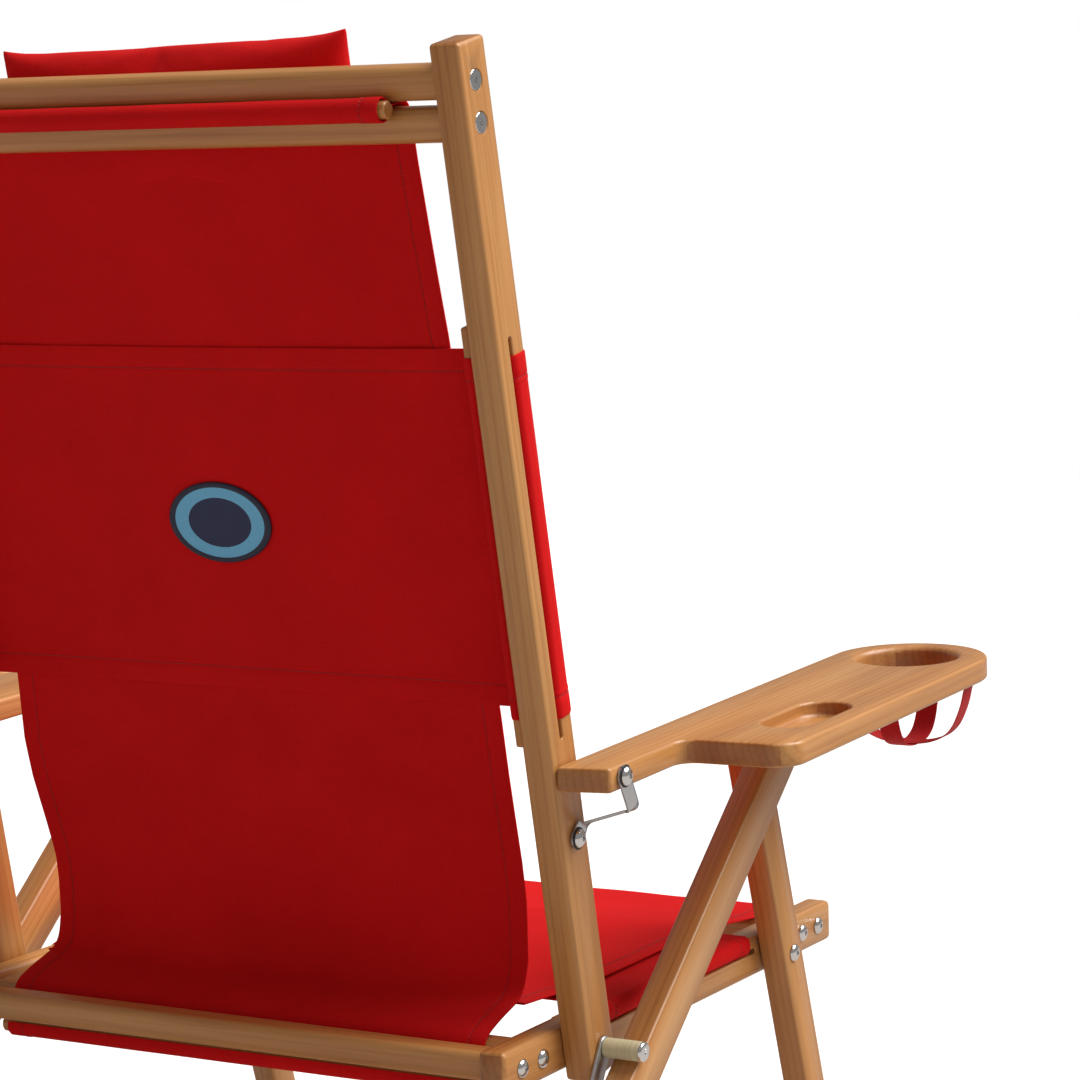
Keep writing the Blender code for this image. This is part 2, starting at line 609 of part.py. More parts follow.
# ---- leg guides: bodies "guide_left", "guide_right" ---------------------------------
def build_guide(side_name, side):
    """Flat steel strap on the upright pivot with a peg at each end, the rear leg between them."""
    middle = side * (OUTER_HALF + 0.0005 + STRAP_THICK / 2)
    outline = stadium((0.0, -GUIDE_SPAN), (0.0, 0.0), STRAP_HALF, 10)
    mesh = outline_mesh("strap", outline, STRAP_THICK, side_axes(middle))
    strap = add_object("guide_strap_" + side_name, mesh, GUIDE, STEEL)
    start = OUTER_HALF + 0.0005 + STRAP_THICK + GAP
    tip = start + PEG_LENGTH + GAP
    for label, height in (("upper", 0.0), ("lower", -GUIDE_SPAN)):
        hole = rod_mesh("hole", HOLE, (side * (OUTER_HALF - 0.005), 0.0, height),
                        (side * (start + 0.01), 0.0, height), 16)
        cut(strap, add_cutter("strap_hole_%s_%s" % (label, side_name), hole, GUIDE))
    sleeve = add_object("peg_sleeve_" + side_name,
                        rod_mesh("sleeve", PEG_RADIUS, (side * start, 0.0, 0.0),
                                 (side * (start + PEG_LENGTH), 0.0, 0.0), 24), GUIDE, NYLON)
    bore = rod_mesh("bore", HOLE, (side * (start - 0.005), 0.0, 0.0), (side * (tip + 0.005), 0.0, 0.0), 16)
    cut(sleeve, add_cutter("sleeve_bore_" + side_name, bore, GUIDE))
    inner = RAIL_INNER - GAP - tip
    head = [(0.0, 0.0010), (0.0020, 0.0010), (0.0020, 0.0028), (0.0070, 0.0028), (PEG_RADIUS, 0.0018),
            (PEG_RADIUS, 0.0), (BOLT, 0.0)]
    shank = [(BOLT, inner), (0.0065, inner), (0.0065, inner - 0.0050), (0.0, inner - 0.0050)]
    bolt = turned_mesh("peg_bolt", head + shank, (side * tip, 0.0, 0.0), side, 20)
    add_object("peg_bolt_" + side_name, bolt, GUIDE, STEEL)
    foot = OUTER_HALF + 0.0005 - tip
    roller = [(0.0, 0.0028), (0.0070, 0.0028), (PEG_RADIUS, 0.0018), (PEG_RADIUS, start - tip),
              (BOLT, start - tip), (BOLT, foot), (0.0, foot)]
    peg = turned_mesh("lower_peg", roller, (side * tip, 0.0, -GUIDE_SPAN), side, 20)
    add_object("lower_peg_" + side_name, peg, GUIDE, NYLON)


# ---- arms: bodies "arm_left", "arm_right" -------------------------------------------
def arm_outline(side):
    """Plan of an arm, u outwards from its inner edge, v towards the rear (0 at its rear end)."""
    nose = ARM_WIDTH / 2
    edge = NECK_LENGTH
    points = [(0.0, NECK_SKEW), (NECK_WIDTH, 0.0), (NECK_WIDTH, -(edge - SHOULDER_IN - 0.004))]
    points += arc((NECK_WIDTH + SHOULDER_IN, -(edge - SHOULDER_IN - 0.004)), SHOULDER_IN, 180, 262, 6)
    points += arc((ARM_WIDTH - SHOULDER_OUT, -(edge + SHOULDER_OUT - 0.002)), SHOULDER_OUT, 98, 0, 8)
    points += arc((nose, -(ARM_LENGTH - nose)), nose, 0, -180, 20)
    return [(side * u, v) for u, v in points]


def build_arm(side_name, side):
    inner = side * (OUTER_HALF + ARM_GAP)
    base = ARM_RISE - ARM_THICK / 2
    axes = Matrix.Translation((inner, ARM_BACK, base))
    arm = add_object("arm_" + side_name, outline_mesh("arm", arm_outline(side), ARM_THICK, axes), ARM, WOOD)
    add_bevel(arm, 0.0040, 2, 50.0)
    cup = bpy.data.meshes.new("cup")
    work = bmesh.new()
    place = (inner + side * CUP_ASIDE, ARM_BACK - CUP_AHEAD, base)
    bmesh.ops.create_cone(work, cap_ends=True, segments=40, radius1=CUP_RADIUS, radius2=CUP_RADIUS,
                          depth=ARM_THICK + 0.02, matrix=Matrix.Translation(place))
    work.to_mesh(cup)
    work.free()
    cut(arm, add_cutter("cup_hole_" + side_name, cup, ARM))
    tray = stadium((side * TRAY_ASIDE, -TRAY_FAR), (side * TRAY_ASIDE, -TRAY_NEAR), TRAY_RADIUS, 10)
    top = ARM_RISE - TRAY_DEPTH
    tray_mesh = outline_mesh("tray", tray, 0.04, Matrix.Translation((inner, ARM_BACK, top + 0.02)))
    cut(arm, add_cutter("tray_" + side_name, tray_mesh, ARM))
    drill = rod_mesh("drill", HOLE, (inner + side * (NECK_WIDTH - 0.012), LINK_HIGH_ARM[0], LINK_HIGH_ARM[1]),
                     (inner + side * (NECK_WIDTH + 0.01), LINK_HIGH_ARM[0], LINK_HIGH_ARM[1]), 16)
    cut(arm, add_cutter("arm_drill_" + side_name, drill, ARM))
    build_bracket(side_name, side)
    build_cup_straps(side_name, side)


def to_arm(place):
    """World (y, z) of the side plane in the arm's own frame."""
    dy, dz = place[0] - TOP_PIVOT[0], place[1] - TOP_PIVOT[1]
    c, s = math.cos(-ARM_TILT), math.sin(-ARM_TILT)
    return (dy * c + dz * s, -dy * s + dz * c)


LINK_HIGH_ARM = to_arm(LINK_HIGH)


def build_bracket(side_name, side):
    """Steel angle screwed under the arm; its tab hangs on the leg-top bolt."""
    under = ARM_RISE - ARM_THICK - GAP
    tab_x = OUTER_HALF + 0.0040
    outline = arc((0.0, 0.0), 0.0110, 180, 360, 8) + [(0.0110, under), (-0.0110, under)]
    bracket = add_object("arm_bracket_" + side_name,
                         outline_mesh("bracket", outline, 0.0020, side_axes(side * tab_x)), ARM, STEEL)
    hole = rod_mesh("hole", HOLE, (side * (OUTER_HALF - 0.002), 0.0, 0.0),
                    (side * (REAR_INNER + 0.002), 0.0, 0.0), 16)
    cut(bracket, add_cutter("bracket_hole_" + side_name, hole, ARM))
    flange_low = (min(side * (tab_x - 0.0009), side * (tab_x + 0.0260)), -0.0110, under - 0.0020)
    flange_high = (max(side * (tab_x - 0.0009), side * (tab_x + 0.0260)), 0.0110, under)
    flange = add_cutter("bracket_flange_" + side_name, box_mesh("flange", flange_low, flange_high), ARM)
    join = bracket.modifiers.new("flange", "BOOLEAN")
    join.operation = "UNION"
    join.solver = "EXACT"
    join.object = flange


def build_cup_straps(side_name, side):
    """Two crossed webbing straps hanging under the cup hole."""
    under = ARM_RISE - ARM_THICK - GAP - 0.0006
    middle_x = side * (OUTER_HALF + ARM_GAP + CUP_ASIDE)
    middle_y = ARM_BACK - CUP_AHEAD
    half = 0.0100
    sag = 0.0560
    reach = 0.0560
    meshes = []
    for label, span in (("long", reach), ("cross", reach - 0.0030)):
        run = [(-span, under), (-span + 0.0080, under), (-span + 0.0170, under - 0.0120),
               (-0.0200, under - sag), (0.0200, under - sag), (span - 0.0170, under - 0.0120),
               (span - 0.0080, under), (span, under)]
        points = ribbon(round_corners(run, 0.0120, 2), CLOTH)
        if label == "long":
            axes = side_axes(middle_x)
            shift = middle_y
        else:
            axes = across_axes(middle_y)
            shift = middle_x
        meshes.append(outline_mesh(label, [(u + shift, v) for u, v in points], 2 * half, axes))
    straps = add_object("cup_straps_" + side_name, meshes[0], ARM, CANVAS)
    join = straps.modifiers.new("cross", "BOOLEAN")
    join.operation = "UNION"
    join.solver = "EXACT"
    join.object = add_cutter("cross_strap_" + side_name, meshes[1], ARM)


# ---- links: bodies "link_left", "link_right" ----------------------------------------
def build_link(side_name, side):
    """Z-shaped flat steel from the upright's outer face to the arm neck's outer edge."""
    thick = 0.0024
    near = OUTER_HALF + 0.0006
    far = OUTER_HALF + ARM_GAP + NECK_WIDTH + 0.0006
    high = (LINK_HIGH[0] - LINK_LOW[0], LINK_HIGH[1] - LINK_LOW[1])
    half = 0.0085
    knee_high = (high[0] - 0.0170, high[1] - 0.0285)
    knee_low = (-0.0095, 0.0105)
    lower = outline_mesh("lower", link_tab((0.0, 0.0), knee_low, half), thick,
                         side_axes(side * (near + thick / 2)))
    link = add_object("link_" + side_name, lower, LINK, STEEL)
    upper = outline_mesh("upper", link_tab(high, knee_high, half), thick, side_axes(side * (far + thick / 2)))
    tie = tie_mesh(side, near, far + thick, knee_low, knee_high, half, thick)
    for label, mesh in (("tie", tie), ("upper", upper)):
        join = link.modifiers.new(label, "BOOLEAN")
        join.operation = "UNION"
        join.solver = "EXACT"
        join.object = add_cutter("link_%s_%s" % (label, side_name), mesh, LINK)
    hole = rod_mesh("hole", HOLE, (side * (near - 0.01), 0.0, 0.0), (side * (near + 0.01), 0.0, 0.0), 16)
    cut(link, add_cutter("link_hole_" + side_name, hole, LINK))
    head = dome_profile(HEAD_RADIUS, HEAD_HEIGHT, BOLT, 0.0140)
    bolt = turned_mesh("link_bolt", head, (side * (near + thick + GAP), 0.0, LINK_PIVOT), side)
    add_object("link_bolt_lower_" + side_name, bolt, BACK, STEEL)
    head = dome_profile(HEAD_RADIUS, HEAD_HEIGHT, BOLT, 0.0003)[:4] + [(0.0, 0.0)]
    bolt = turned_mesh("link_bolt", head, (side * (far + thick + GAP), high[0], high[1]), side)
    add_object("link_bolt_upper_" + side_name, bolt, LINK, STEEL)


def link_tab(centre, knee, half):
    """Outline of a tab: round about its bolt, square at the knee."""
    angle = math.degrees(math.atan2(knee[1] - centre[1], knee[0] - centre[0]))
    points = arc(centre, half, angle + 90, angle + 270, 10)
    c, s = math.cos(math.radians(angle)), math.sin(math.radians(angle))
    points += [(knee[0] + half * s, knee[1] - half * c), (knee[0] - half * s, knee[1] + half * c)]
    return points


def tie_mesh(side, near, far, low, high, half, thick):
    """Slanted strip of the link between its two tabs."""
    outline = [(near, low[1] - thick / 2), (far, high[1] - thick / 2), (far, high[1] + thick / 2),
               (near, low[1] + thick / 2)]
    points = [(side * u, v) for u, v in outline]
    middle = (low[0] + high[0]) / 2
    return outline_mesh("tie", points, 1.7 * half, across_axes(middle))


# ---- build --------------------------------------------------------------------------
clear_scene()
PART = make_collection("folding_arm_chair")
CUTTERS = make_collection("cutters")

WOOD = make_material("varnished_wood", (0.62, 0.40, 0.20), 0.42)
CANVAS = make_material("red_canvas", (0.55, 0.01, 0.015), 0.85)
STEEL = make_material("zinc_steel", (0.62, 0.63, 0.65), 0.30, 1.0)
NYLON = make_material("pale_nylon", (0.66, 0.60, 0.42), 0.55)
BADGE = make_material("badge", (0.03, 0.06, 0.25), 0.80)

BACK = make_frame("back_pivot", BACK_PIVOT, -LEAN)
SEAT = make_frame("seat_pivot", BACK_PIVOT, -SEAT_TILT)
FRONT_LEGS = make_frame("front_leg_pivot", LEG_PIVOT, -FRONT_TILT)
REAR_LEGS = make_frame("rear_leg_guide", BACK_PIVOT, REAR_TILT)
GUIDE = make_frame("guide_pivot", BACK_PIVOT, GUIDE_TILT)
ARM = make_frame("arm_pivot", TOP_PIVOT, -ARM_TILT)
LINK = make_frame("link_pivot", LINK_LOW, 0.0)

build_back()
build_seat()
build_front_legs()
build_rear_legs()
for name, sign in SIDES:
    build_guide(name, sign)
    build_arm(name, sign)
    build_link(name, sign)
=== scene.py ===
"""Looks of the folding canvas arm chair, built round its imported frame. Metres, +Z up, chair facing -Y."""

import json
import math
import random

import bmesh
import bpy
import numpy as np
from mathutils import Matrix, Vector


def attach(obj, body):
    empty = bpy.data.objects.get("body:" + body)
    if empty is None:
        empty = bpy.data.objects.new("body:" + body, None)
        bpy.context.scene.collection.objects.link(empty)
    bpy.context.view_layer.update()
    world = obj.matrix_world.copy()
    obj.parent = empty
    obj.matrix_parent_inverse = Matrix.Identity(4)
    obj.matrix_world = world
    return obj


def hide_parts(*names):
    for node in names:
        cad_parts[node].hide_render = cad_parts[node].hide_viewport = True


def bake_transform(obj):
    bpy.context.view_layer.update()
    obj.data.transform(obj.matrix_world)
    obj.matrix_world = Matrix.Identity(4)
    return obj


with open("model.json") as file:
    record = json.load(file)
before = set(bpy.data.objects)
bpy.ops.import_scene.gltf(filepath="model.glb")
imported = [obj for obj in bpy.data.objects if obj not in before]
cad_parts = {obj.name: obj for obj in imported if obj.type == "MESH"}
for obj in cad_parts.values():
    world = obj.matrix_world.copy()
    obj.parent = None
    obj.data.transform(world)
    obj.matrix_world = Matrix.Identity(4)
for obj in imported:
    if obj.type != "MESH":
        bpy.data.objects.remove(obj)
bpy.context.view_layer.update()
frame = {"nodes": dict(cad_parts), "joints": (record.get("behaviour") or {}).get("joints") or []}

# ---- driving dimensions, as in the frame --------------------------------------------
OUTER_HALF = 0.3130
STICK = 0.0246
WASHER = 0.0020
CLOTH = 0.0010
SEAT_TILT = math.radians(3.2)
RAIL_DEPTH = 0.0370
RAIL_BEHIND = 0.1115
RAIL_AHEAD = 0.4880
FRONT_PIVOT = 0.3546
BAR_MARGIN = 0.0285
BAR_PITCH = 0.0325
BAR_WIDTH = 0.0275
BAR_THICK = 0.0240
LEAN = math.radians(14.3)
BACK_DEPTH = 0.0400
UPRIGHT = 0.0262
BACK_TOP = 0.8266
BACK_BOTTOM = 0.0240
TOP_BAR = 0.7950
TOP_BAR_PITCH = 0.0327
BAND_LOW = 0.2838
BAND_HIGH = 0.5806
SLOT_LOW = 0.2700
SLOT_HIGH = 0.5936
SLOT_WIDTH = 0.0050
SEAT_SLOT_Z = 0.0045
SEAT_BAND_REAR = -0.0520
SEAT_BAND_FRONT = -0.3190
FRONT_TILT = math.radians(20.57)
FRONT_DEPTH = 0.0350
FRONT_UPPER = 0.2123
STRETCHER_DROP = 0.2700
REAR_TILT = math.radians(47.26)
REAR_DEPTH = 0.0412
REAR_PLANE_GAP = 0.0086
REAR_STRETCHER = 0.3500
ARM_TILT = math.radians(4.98)
ARM_THICK = 0.0205
ARM_LENGTH = 0.5810
ARM_WIDTH = 0.1420
NECK_WIDTH = 0.0446
NECK_LENGTH = 0.1270
SHOULDER_IN = 0.0160
SHOULDER_OUT = 0.0260
ARM_GAP = 0.0010
ARM_RISE = 0.0505
ARM_BACK = 0.3470
NECK_SKEW = 0.0080
CUP_RADIUS = 0.0450
CUP_AHEAD = 0.5120
CUP_ASIDE = 0.0690
TRAY_RADIUS = 0.0235
TRAY_NEAR = 0.2120
TRAY_FAR = 0.2770
TRAY_ASIDE = 0.0975
TRAY_DEPTH = 0.0130
GUIDE_TILT = math.radians(27.5)
PEG_RADIUS = 0.0083
PEG_LENGTH = 0.0330
STRAP_THICK = 0.0030
STRAP_HALF = 0.0095
GAP = 0.0003
DOWEL_RADIUS = 0.0070
ROLL_RADIUS = 0.0092
SLING_HALF = 0.2450
LINK_RISE = (0.0058, 0.0540)
HEM = 0.0200
STITCH_PITCH = 0.0036
WEAVE_PITCH = 0.0011
SHANK = 0.0031
HEAD = (0.0078, 0.0040)
LINK_HEAD = (0.0078, 0.0042)
DOME_SOCKET = (0.0021, 0.0024)

INNER_HALF = OUTER_HALF - STICK
BACK_INNER = OUTER_HALF - UPRIGHT
RAIL_OUTER = INNER_HALF - WASHER
RAIL_INNER = RAIL_OUTER - STICK
REAR_INNER = OUTER_HALF + REAR_PLANE_GAP
REAR_OUTER = REAR_INNER + STICK
GUIDE_OFFSET = REAR_DEPTH / 2 + PEG_RADIUS + GAP
GUIDE_SPAN = (REAR_DEPTH + 2 * PEG_RADIUS + 2 * GAP) / math.sin(REAR_TILT - GUIDE_TILT)
SIDES = (("left", 1.0), ("right", -1.0))

JOINT_AT = {j["name"]: j["pos_m"] for j in frame["joints"] if "pos_m" in j}


def joint_frame(joint, tilt):
    """Local frame on a joint's axis: Z up the member, -Y its front."""
    place = JOINT_AT[joint]
    return Matrix.Translation((0.0, place[1], place[2])) @ Matrix.Rotation(tilt, 4, "X")


BACK = joint_frame("back_fold", -LEAN)
SEAT = joint_frame("back_fold", -SEAT_TILT)
FRONT_LEGS = joint_frame("fold", -FRONT_TILT)
REAR_LEGS = joint_frame("back_fold", REAR_TILT)
GUIDE = joint_frame("back_fold", GUIDE_TILT)
ARM = joint_frame("arm_turn_left", -ARM_TILT)
LINK = joint_frame("link_turn_left", 0.0)
REAR_TOP = math.sqrt(math.dist(JOINT_AT["arm_turn_left"][1:], JOINT_AT["back_fold"][1:]) ** 2
                     - GUIDE_OFFSET ** 2)


# ---- node materials -----------------------------------------------------------------
class Nodes:
    """Short way to write a material's node tree."""

    def __init__(self, name, tree_owner=None):
        self.owner = tree_owner or bpy.data.materials.new(name)
        self.owner.use_nodes = True
        self.tree = self.owner.node_tree
        if tree_owner is None:
            self.shader = self.tree.nodes["Principled BSDF"]

    def add(self, kind, inputs=None, **settings):
        node = self.tree.nodes.new(kind)
        for key, value in settings.items():
            setattr(node, key, value)
        for key, value in (inputs or {}).items():
            self.feed(node.inputs[key], value)
        return node

    def feed(self, socket, value):
        if isinstance(value, bpy.types.NodeSocket):
            self.tree.links.new(value, socket)
        else:
            socket.default_value = value

    def math(self, operation, first, second=0.0, third=0.0):
        node = self.add("ShaderNodeMath", operation=operation)
        for socket, value in zip(node.inputs, (first, second, third)):
            self.feed(socket, value)
        return node.outputs[0]

    def attribute(self, name):
        return self.add("ShaderNodeAttribute", attribute_name=name)

    def mapping(self, vector, scale=(1, 1, 1), location=(0, 0, 0)):
        node = self.add("ShaderNodeMapping", {"Vector": vector, "Scale": scale, "Location": location})
        return node.outputs[0]

    def noise(self, vector, scale, detail=2.0, roughness=0.5):
        node = self.add("ShaderNodeTexNoise", {"Vector": vector, "Scale": scale, "Detail": detail,
                                               "Roughness": roughness})
        return node.outputs["Fac"]

    def ramp(self, value, stops):
        node = self.add("ShaderNodeValToRGB", {"Fac": value})
        elements = node.color_ramp.elements
        while len(elements) < len(stops):
            elements.new(0.5)
        for element, (place, colour) in zip(elements, stops):
            element.position = place
            element.color = (*colour, 1.0) if len(colour) == 3 else colour
        return node.outputs["Color"]

    def mix(self, factor, first, second, blend="MIX"):
        node = self.add("ShaderNodeMix", data_type="RGBA", blend_type=blend)
        self.feed(node.inputs[0], factor)
        for socket, value in ((node.inputs[6], first), (node.inputs[7], second)):
            if isinstance(value, tuple) and len(value) == 3:
                value = (*value, 1.0)
            self.feed(socket, value)
        return node.outputs[2]

    def bump(self, height, strength, distance, normal=None):
        inputs = {"Height": height, "Strength": strength, "Distance": distance}
        if normal is not None:
            inputs["Normal"] = normal
        return self.add("ShaderNodeBump", inputs).outputs[0]

    def finish(self, **sockets):
        for key, value in sockets.items():
            self.feed(self.shader.inputs[key.replace("_", " ")], value)
        return self.owner


def wood_material():
    """Varnished pale hardwood: growth rings, fine fibres, darker end grain, satin varnish."""
    n = Nodes("varnished_hardwood")
    grain = n.attribute("grain").outputs["Vector"]
    end = n.attribute("end_grain").outputs["Fac"]
    slow = n.noise(n.mapping(grain, (26, 26, 1.6)), 1.0, 3.0, 0.55)
    rings = {"Vector": n.mapping(grain, (1, 1, 0.045)), "Scale": 46.0, "Distortion": 3.2,
             "Detail": 2.0, "Detail Scale": 0.55, "Detail Roughness": 0.6}
    wave = n.add("ShaderNodeTexWave", rings, wave_type="RINGS", rings_direction="Z").outputs["Fac"]
    fibres = n.noise(n.mapping(grain, (900, 900, 14)), 1.0, 3.0, 0.6)
    pores = n.noise(n.mapping(grain, (420, 420, 9)), 1.0, 1.0, 0.5)
    base = n.ramp(slow, [(0.28, (0.43, 0.172, 0.045)), (0.50, (0.54, 0.245, 0.072)),
                         (0.74, (0.63, 0.330, 0.115))])
    rings = n.ramp(wave, [(0.0, (0.78, 0.70, 0.60)), (0.35, (0.98, 0.97, 0.95)), (1.0, (1.0, 1.0, 1.0))])
    colour = n.mix(0.55, base, rings, "MULTIPLY")
    streak = n.ramp(pores, [(0.33, (0.80, 0.72, 0.63)), (0.50, (1.0, 1.0, 1.0))])
    colour = n.mix(0.50, colour, streak, "MULTIPLY")
    thread = n.ramp(fibres, [(0.30, (0.88, 0.84, 0.80)), (0.62, (1.0, 1.0, 1.0))])
    colour = n.mix(0.6, colour, thread, "MULTIPLY")
    colour = n.mix(end, colour, n.mix(0.8, colour, (0.66, 0.52, 0.40), "MULTIPLY"))
    rough = n.math("MULTIPLY_ADD", fibres, 0.16, 0.33)
    bump = n.bump(fibres, 0.12, 0.0004, n.bump(wave, 0.05, 0.0006))
    return n.finish(Base_Color=colour, Roughness=rough, Normal=bump, Coat_Weight=0.35, Coat_Roughness=0.28,
                    IOR=1.45)


def weave(n, coords, pitch):
    """Height of a plain weave: warp and weft threads passing over and under each other."""
    parts = n.add("ShaderNodeSeparateXYZ", {"Vector": coords})
    turn = 2 * math.pi / pitch
    warp = n.math("SINE", n.math("MULTIPLY", parts.outputs[0], turn))
    weft = n.math("SINE", n.math("MULTIPLY", parts.outputs[1], turn))
    over = n.math("MULTIPLY", warp, weft)
    warp_thread = n.math("ABSOLUTE", n.math("SINE", n.math("MULTIPLY", parts.outputs[0], turn / 2)))
    weft_thread = n.math("ABSOLUTE", n.math("SINE", n.math("MULTIPLY", parts.outputs[1], turn / 2)))
    threads = n.math("MULTIPLY", warp_thread, weft_thread)
    return n.math("MULTIPLY_ADD", over, 0.35, threads)


def canvas_material():
    """Dense solution-dyed canvas: plain weave with painted shade in its valleys, slubs, faint blotches and a
    dusty sheen.
    """
    n = Nodes("red_canvas_cloth")
    coords = n.attribute("cloth").outputs["Vector"]
    height = weave(n, coords, WEAVE_PITCH)
    slub_a = n.noise(n.mapping(coords, (60, 1500, 1)), 1.0, 2.0)
    slub_b = n.noise(n.mapping(coords, (1500, 60, 1)), 1.0, 2.0)
    slubs = n.math("ADD", slub_a, slub_b)
    cloudy = n.noise(coords, 7.0, 4.0, 0.6)
    base = n.ramp(cloudy, [(0.30, (0.63, 0.0040, 0.0055)), (0.70, (0.73, 0.0060, 0.0080))])
    tint = n.ramp(slubs, [(0.70, (0.80, 0.72, 0.72)), (1.15, (1.0, 1.0, 1.0))])
    colour = n.mix(0.65, base, tint, "MULTIPLY")
    # painted shade: the weave's low places are darkened, as if shaded between the threads
    painted_valley_shade = n.ramp(height, [(0.05, (0.62, 0.50, 0.50)), (0.75, (1.0, 1.0, 1.0))])
    colour = n.mix(0.45, colour, painted_valley_shade, "MULTIPLY")
    bump = n.bump(height, 0.35, 0.00025, n.bump(slubs, 0.15, 0.0003))
    return n.finish(Base_Color=colour, Roughness=0.86, Normal=bump, Sheen_Weight=0.05, Sheen_Roughness=0.45,
                    Sheen_Tint=(1.0, 0.30, 0.25, 1.0), Specular_IOR_Level=0.12)


def webbing_material():
    """Red webbing with ribs across its width, with painted shade in the grooves between ribs and cords."""
    n = Nodes("red_webbing")
    coords = n.attribute("cloth").outputs["Vector"]
    parts = n.add("ShaderNodeSeparateXYZ", {"Vector": coords})
    ribs = n.math("ABSOLUTE", n.math("SINE", n.math("MULTIPLY", parts.outputs[1], math.pi / 0.0012)))
    cords = n.math("ABSOLUTE", n.math("SINE", n.math("MULTIPLY", parts.outputs[0], math.pi / 0.0018)))
    height = n.math("MULTIPLY", ribs, cords)
    # painted shade: colour darkens with the weave's height, deepest in the grooves between ribs and cords
    colour = n.ramp(height, [(0.0, (0.30, 0.002, 0.006)), (0.8, (0.66, 0.005, 0.010))])
    return n.finish(Base_Color=colour, Roughness=0.62, Normal=n.bump(height, 0.5, 0.0004),
                    Sheen_Weight=0.03, Specular_IOR_Level=0.25)


def thread_material():
    n = Nodes("red_thread")
    place = n.add("ShaderNodeTexCoord").outputs["Object"]
    twist = n.noise(place, 1800.0, 1.0)
    colour = n.ramp(twist, [(0.3, (0.20, 0.003, 0.006)), (0.7, (0.36, 0.006, 0.010))])
    return n.finish(Base_Color=colour, Roughness=0.55, Sheen_Weight=0.2)


def steel_material(name, colour, roughness, streak):
    """Zinc-plated or stainless steel with faint brushing and handling marks."""
    n = Nodes(name)
    place = n.add("ShaderNodeTexCoord").outputs["Object"]
    brush = n.noise(n.mapping(place, (2600, 180, 180)), 1.0, 2.0)
    marks = n.noise(place, 90.0, 4.0, 0.65)
    tint = n.ramp(marks, [(0.25, tuple(0.86 * c for c in colour)), (0.75, colour)])
    rough = n.math("MULTIPLY_ADD", marks, streak, roughness)
    return n.finish(Base_Color=tint, Metallic=1.0, Roughness=rough, Normal=n.bump(brush, 0.06, 0.0002))


def nylon_material():
    n = Nodes("pale_nylon_sleeve")
    place = n.add("ShaderNodeTexCoord").outputs["Object"]
    turned = n.noise(n.mapping(place, (900, 30, 30)), 1.0, 2.0)
    colour = n.ramp(turned, [(0.3, (0.50, 0.44, 0.27)), (0.7, (0.62, 0.56, 0.37))])
    return n.finish(Base_Color=colour, Roughness=0.48, Normal=n.bump(turned, 0.10, 0.0003),
                    Subsurface_Weight=0.08)


def dark_material():
    n = Nodes("dark_washer")
    place = n.add("ShaderNodeTexCoord").outputs["Object"]
    speck = n.noise(place, 700.0, 2.0)
    colour = n.ramp(speck, [(0.3, (0.012, 0.012, 0.013)), (0.7, (0.035, 0.035, 0.037))])
    return n.finish(Base_Color=colour, Roughness=0.6, Normal=n.bump(speck, 0.1, 0.0002))


def badge_material():
    """Embroidered badge: satin-stitched rings round a plain field."""
    n = Nodes("sewn_badge")
    coords = n.attribute("cloth").outputs["Vector"]
    parts = n.add("ShaderNodeSeparateXYZ", {"Vector": coords})
    u, v = parts.outputs[0], parts.outputs[1]
    radius = n.math("SQRT", n.math("ADD", n.math("MULTIPLY", u, u), n.math("MULTIPLY", v, v)))
    twill = n.math("SINE", n.math("MULTIPLY", n.math("ADD", u, v), 90.0))
    field = n.mix(n.math("MULTIPLY_ADD", twill, 0.25, 0.5), (0.004, 0.010, 0.060), (0.008, 0.018, 0.100))
    field = n.mix(n.math("GREATER_THAN", radius, 0.62), field, (0.16, 0.52, 0.84))
    field = n.mix(n.math("GREATER_THAN", radius, 0.88), field, (0.008, 0.012, 0.045))
    thread = n.noise(n.mapping(coords, (14, 160, 1)), 1.0, 1.0)
    shade = n.ramp(thread, [(0.3, (0.72, 0.72, 0.72)), (0.65, (1.0, 1.0, 1.0))])
    colour = n.mix(0.7, field, shade, "MULTIPLY")
    return n.finish(Base_Color=colour, Roughness=0.5, Normal=n.bump(thread, 0.4, 0.0004), Sheen_Weight=0.05)


def floor_material():
    """Pale floor: near white to the eye, greyer in the light that it throws back."""
    n = Nodes("pale_floor")
    place = n.add("ShaderNodeTexCoord").outputs["Object"]
    ray = n.add("ShaderNodeLightPath").outputs["Is Camera Ray"]
    soft = n.noise(place, 3.0, 3.0)
    seen = n.ramp(soft, [(0.3, (0.93, 0.93, 0.93)), (0.7, (0.95, 0.95, 0.95))])
    return n.finish(Base_Color=n.mix(ray, (0.50, 0.47, 0.44), seen), Roughness=0.9, Specular_IOR_Level=0.0)


WOOD = wood_material()
CANVAS = canvas_material()
WEBBING = webbing_material()
THREAD = thread_material()
STEEL = steel_material("zinc_plated_steel", (0.60, 0.62, 0.66), 0.24, 0.16)
BRIGHT = steel_material("bright_steel", (0.80, 0.80, 0.81), 0.12, 0.12)
NYLON = nylon_material()
DARK = dark_material()
BADGE = badge_material()


# ---- mesh helpers -------------------------------------------------------------------
def new_object(name, mesh, matrix=None):
    obj = bpy.data.objects.new(name, mesh)
    bpy.context.scene.collection.objects.link(obj)
    if matrix is not None:
        obj.matrix_world = matrix
    return obj


def settle(obj):
    """Replaces an object's mesh by its evaluated one, so that no modifier is left."""
    graph = bpy.context.evaluated_depsgraph_get()
    mesh = bpy.data.meshes.new_from_object(obj.evaluated_get(graph))
    obj.modifiers.clear()
    obj.data = mesh
    return obj


def bmesh_to(name, work):
    mesh = bpy.data.meshes.new(name)
    bmesh.ops.recalc_face_normals(work, faces=work.faces)
    work.to_mesh(mesh)
    work.free()
    return mesh


def box_mesh(name, low, high):
    work = bmesh.new()
    size = [high[i] - low[i] for i in range(3)]
    middle = [(high[i] + low[i]) / 2 for i in range(3)]
    bmesh.ops.create_cube(work, size=1.0, matrix=Matrix.Translation(middle) @ Matrix.Diagonal((*size, 1.0)))
    return bmesh_to(name, work)


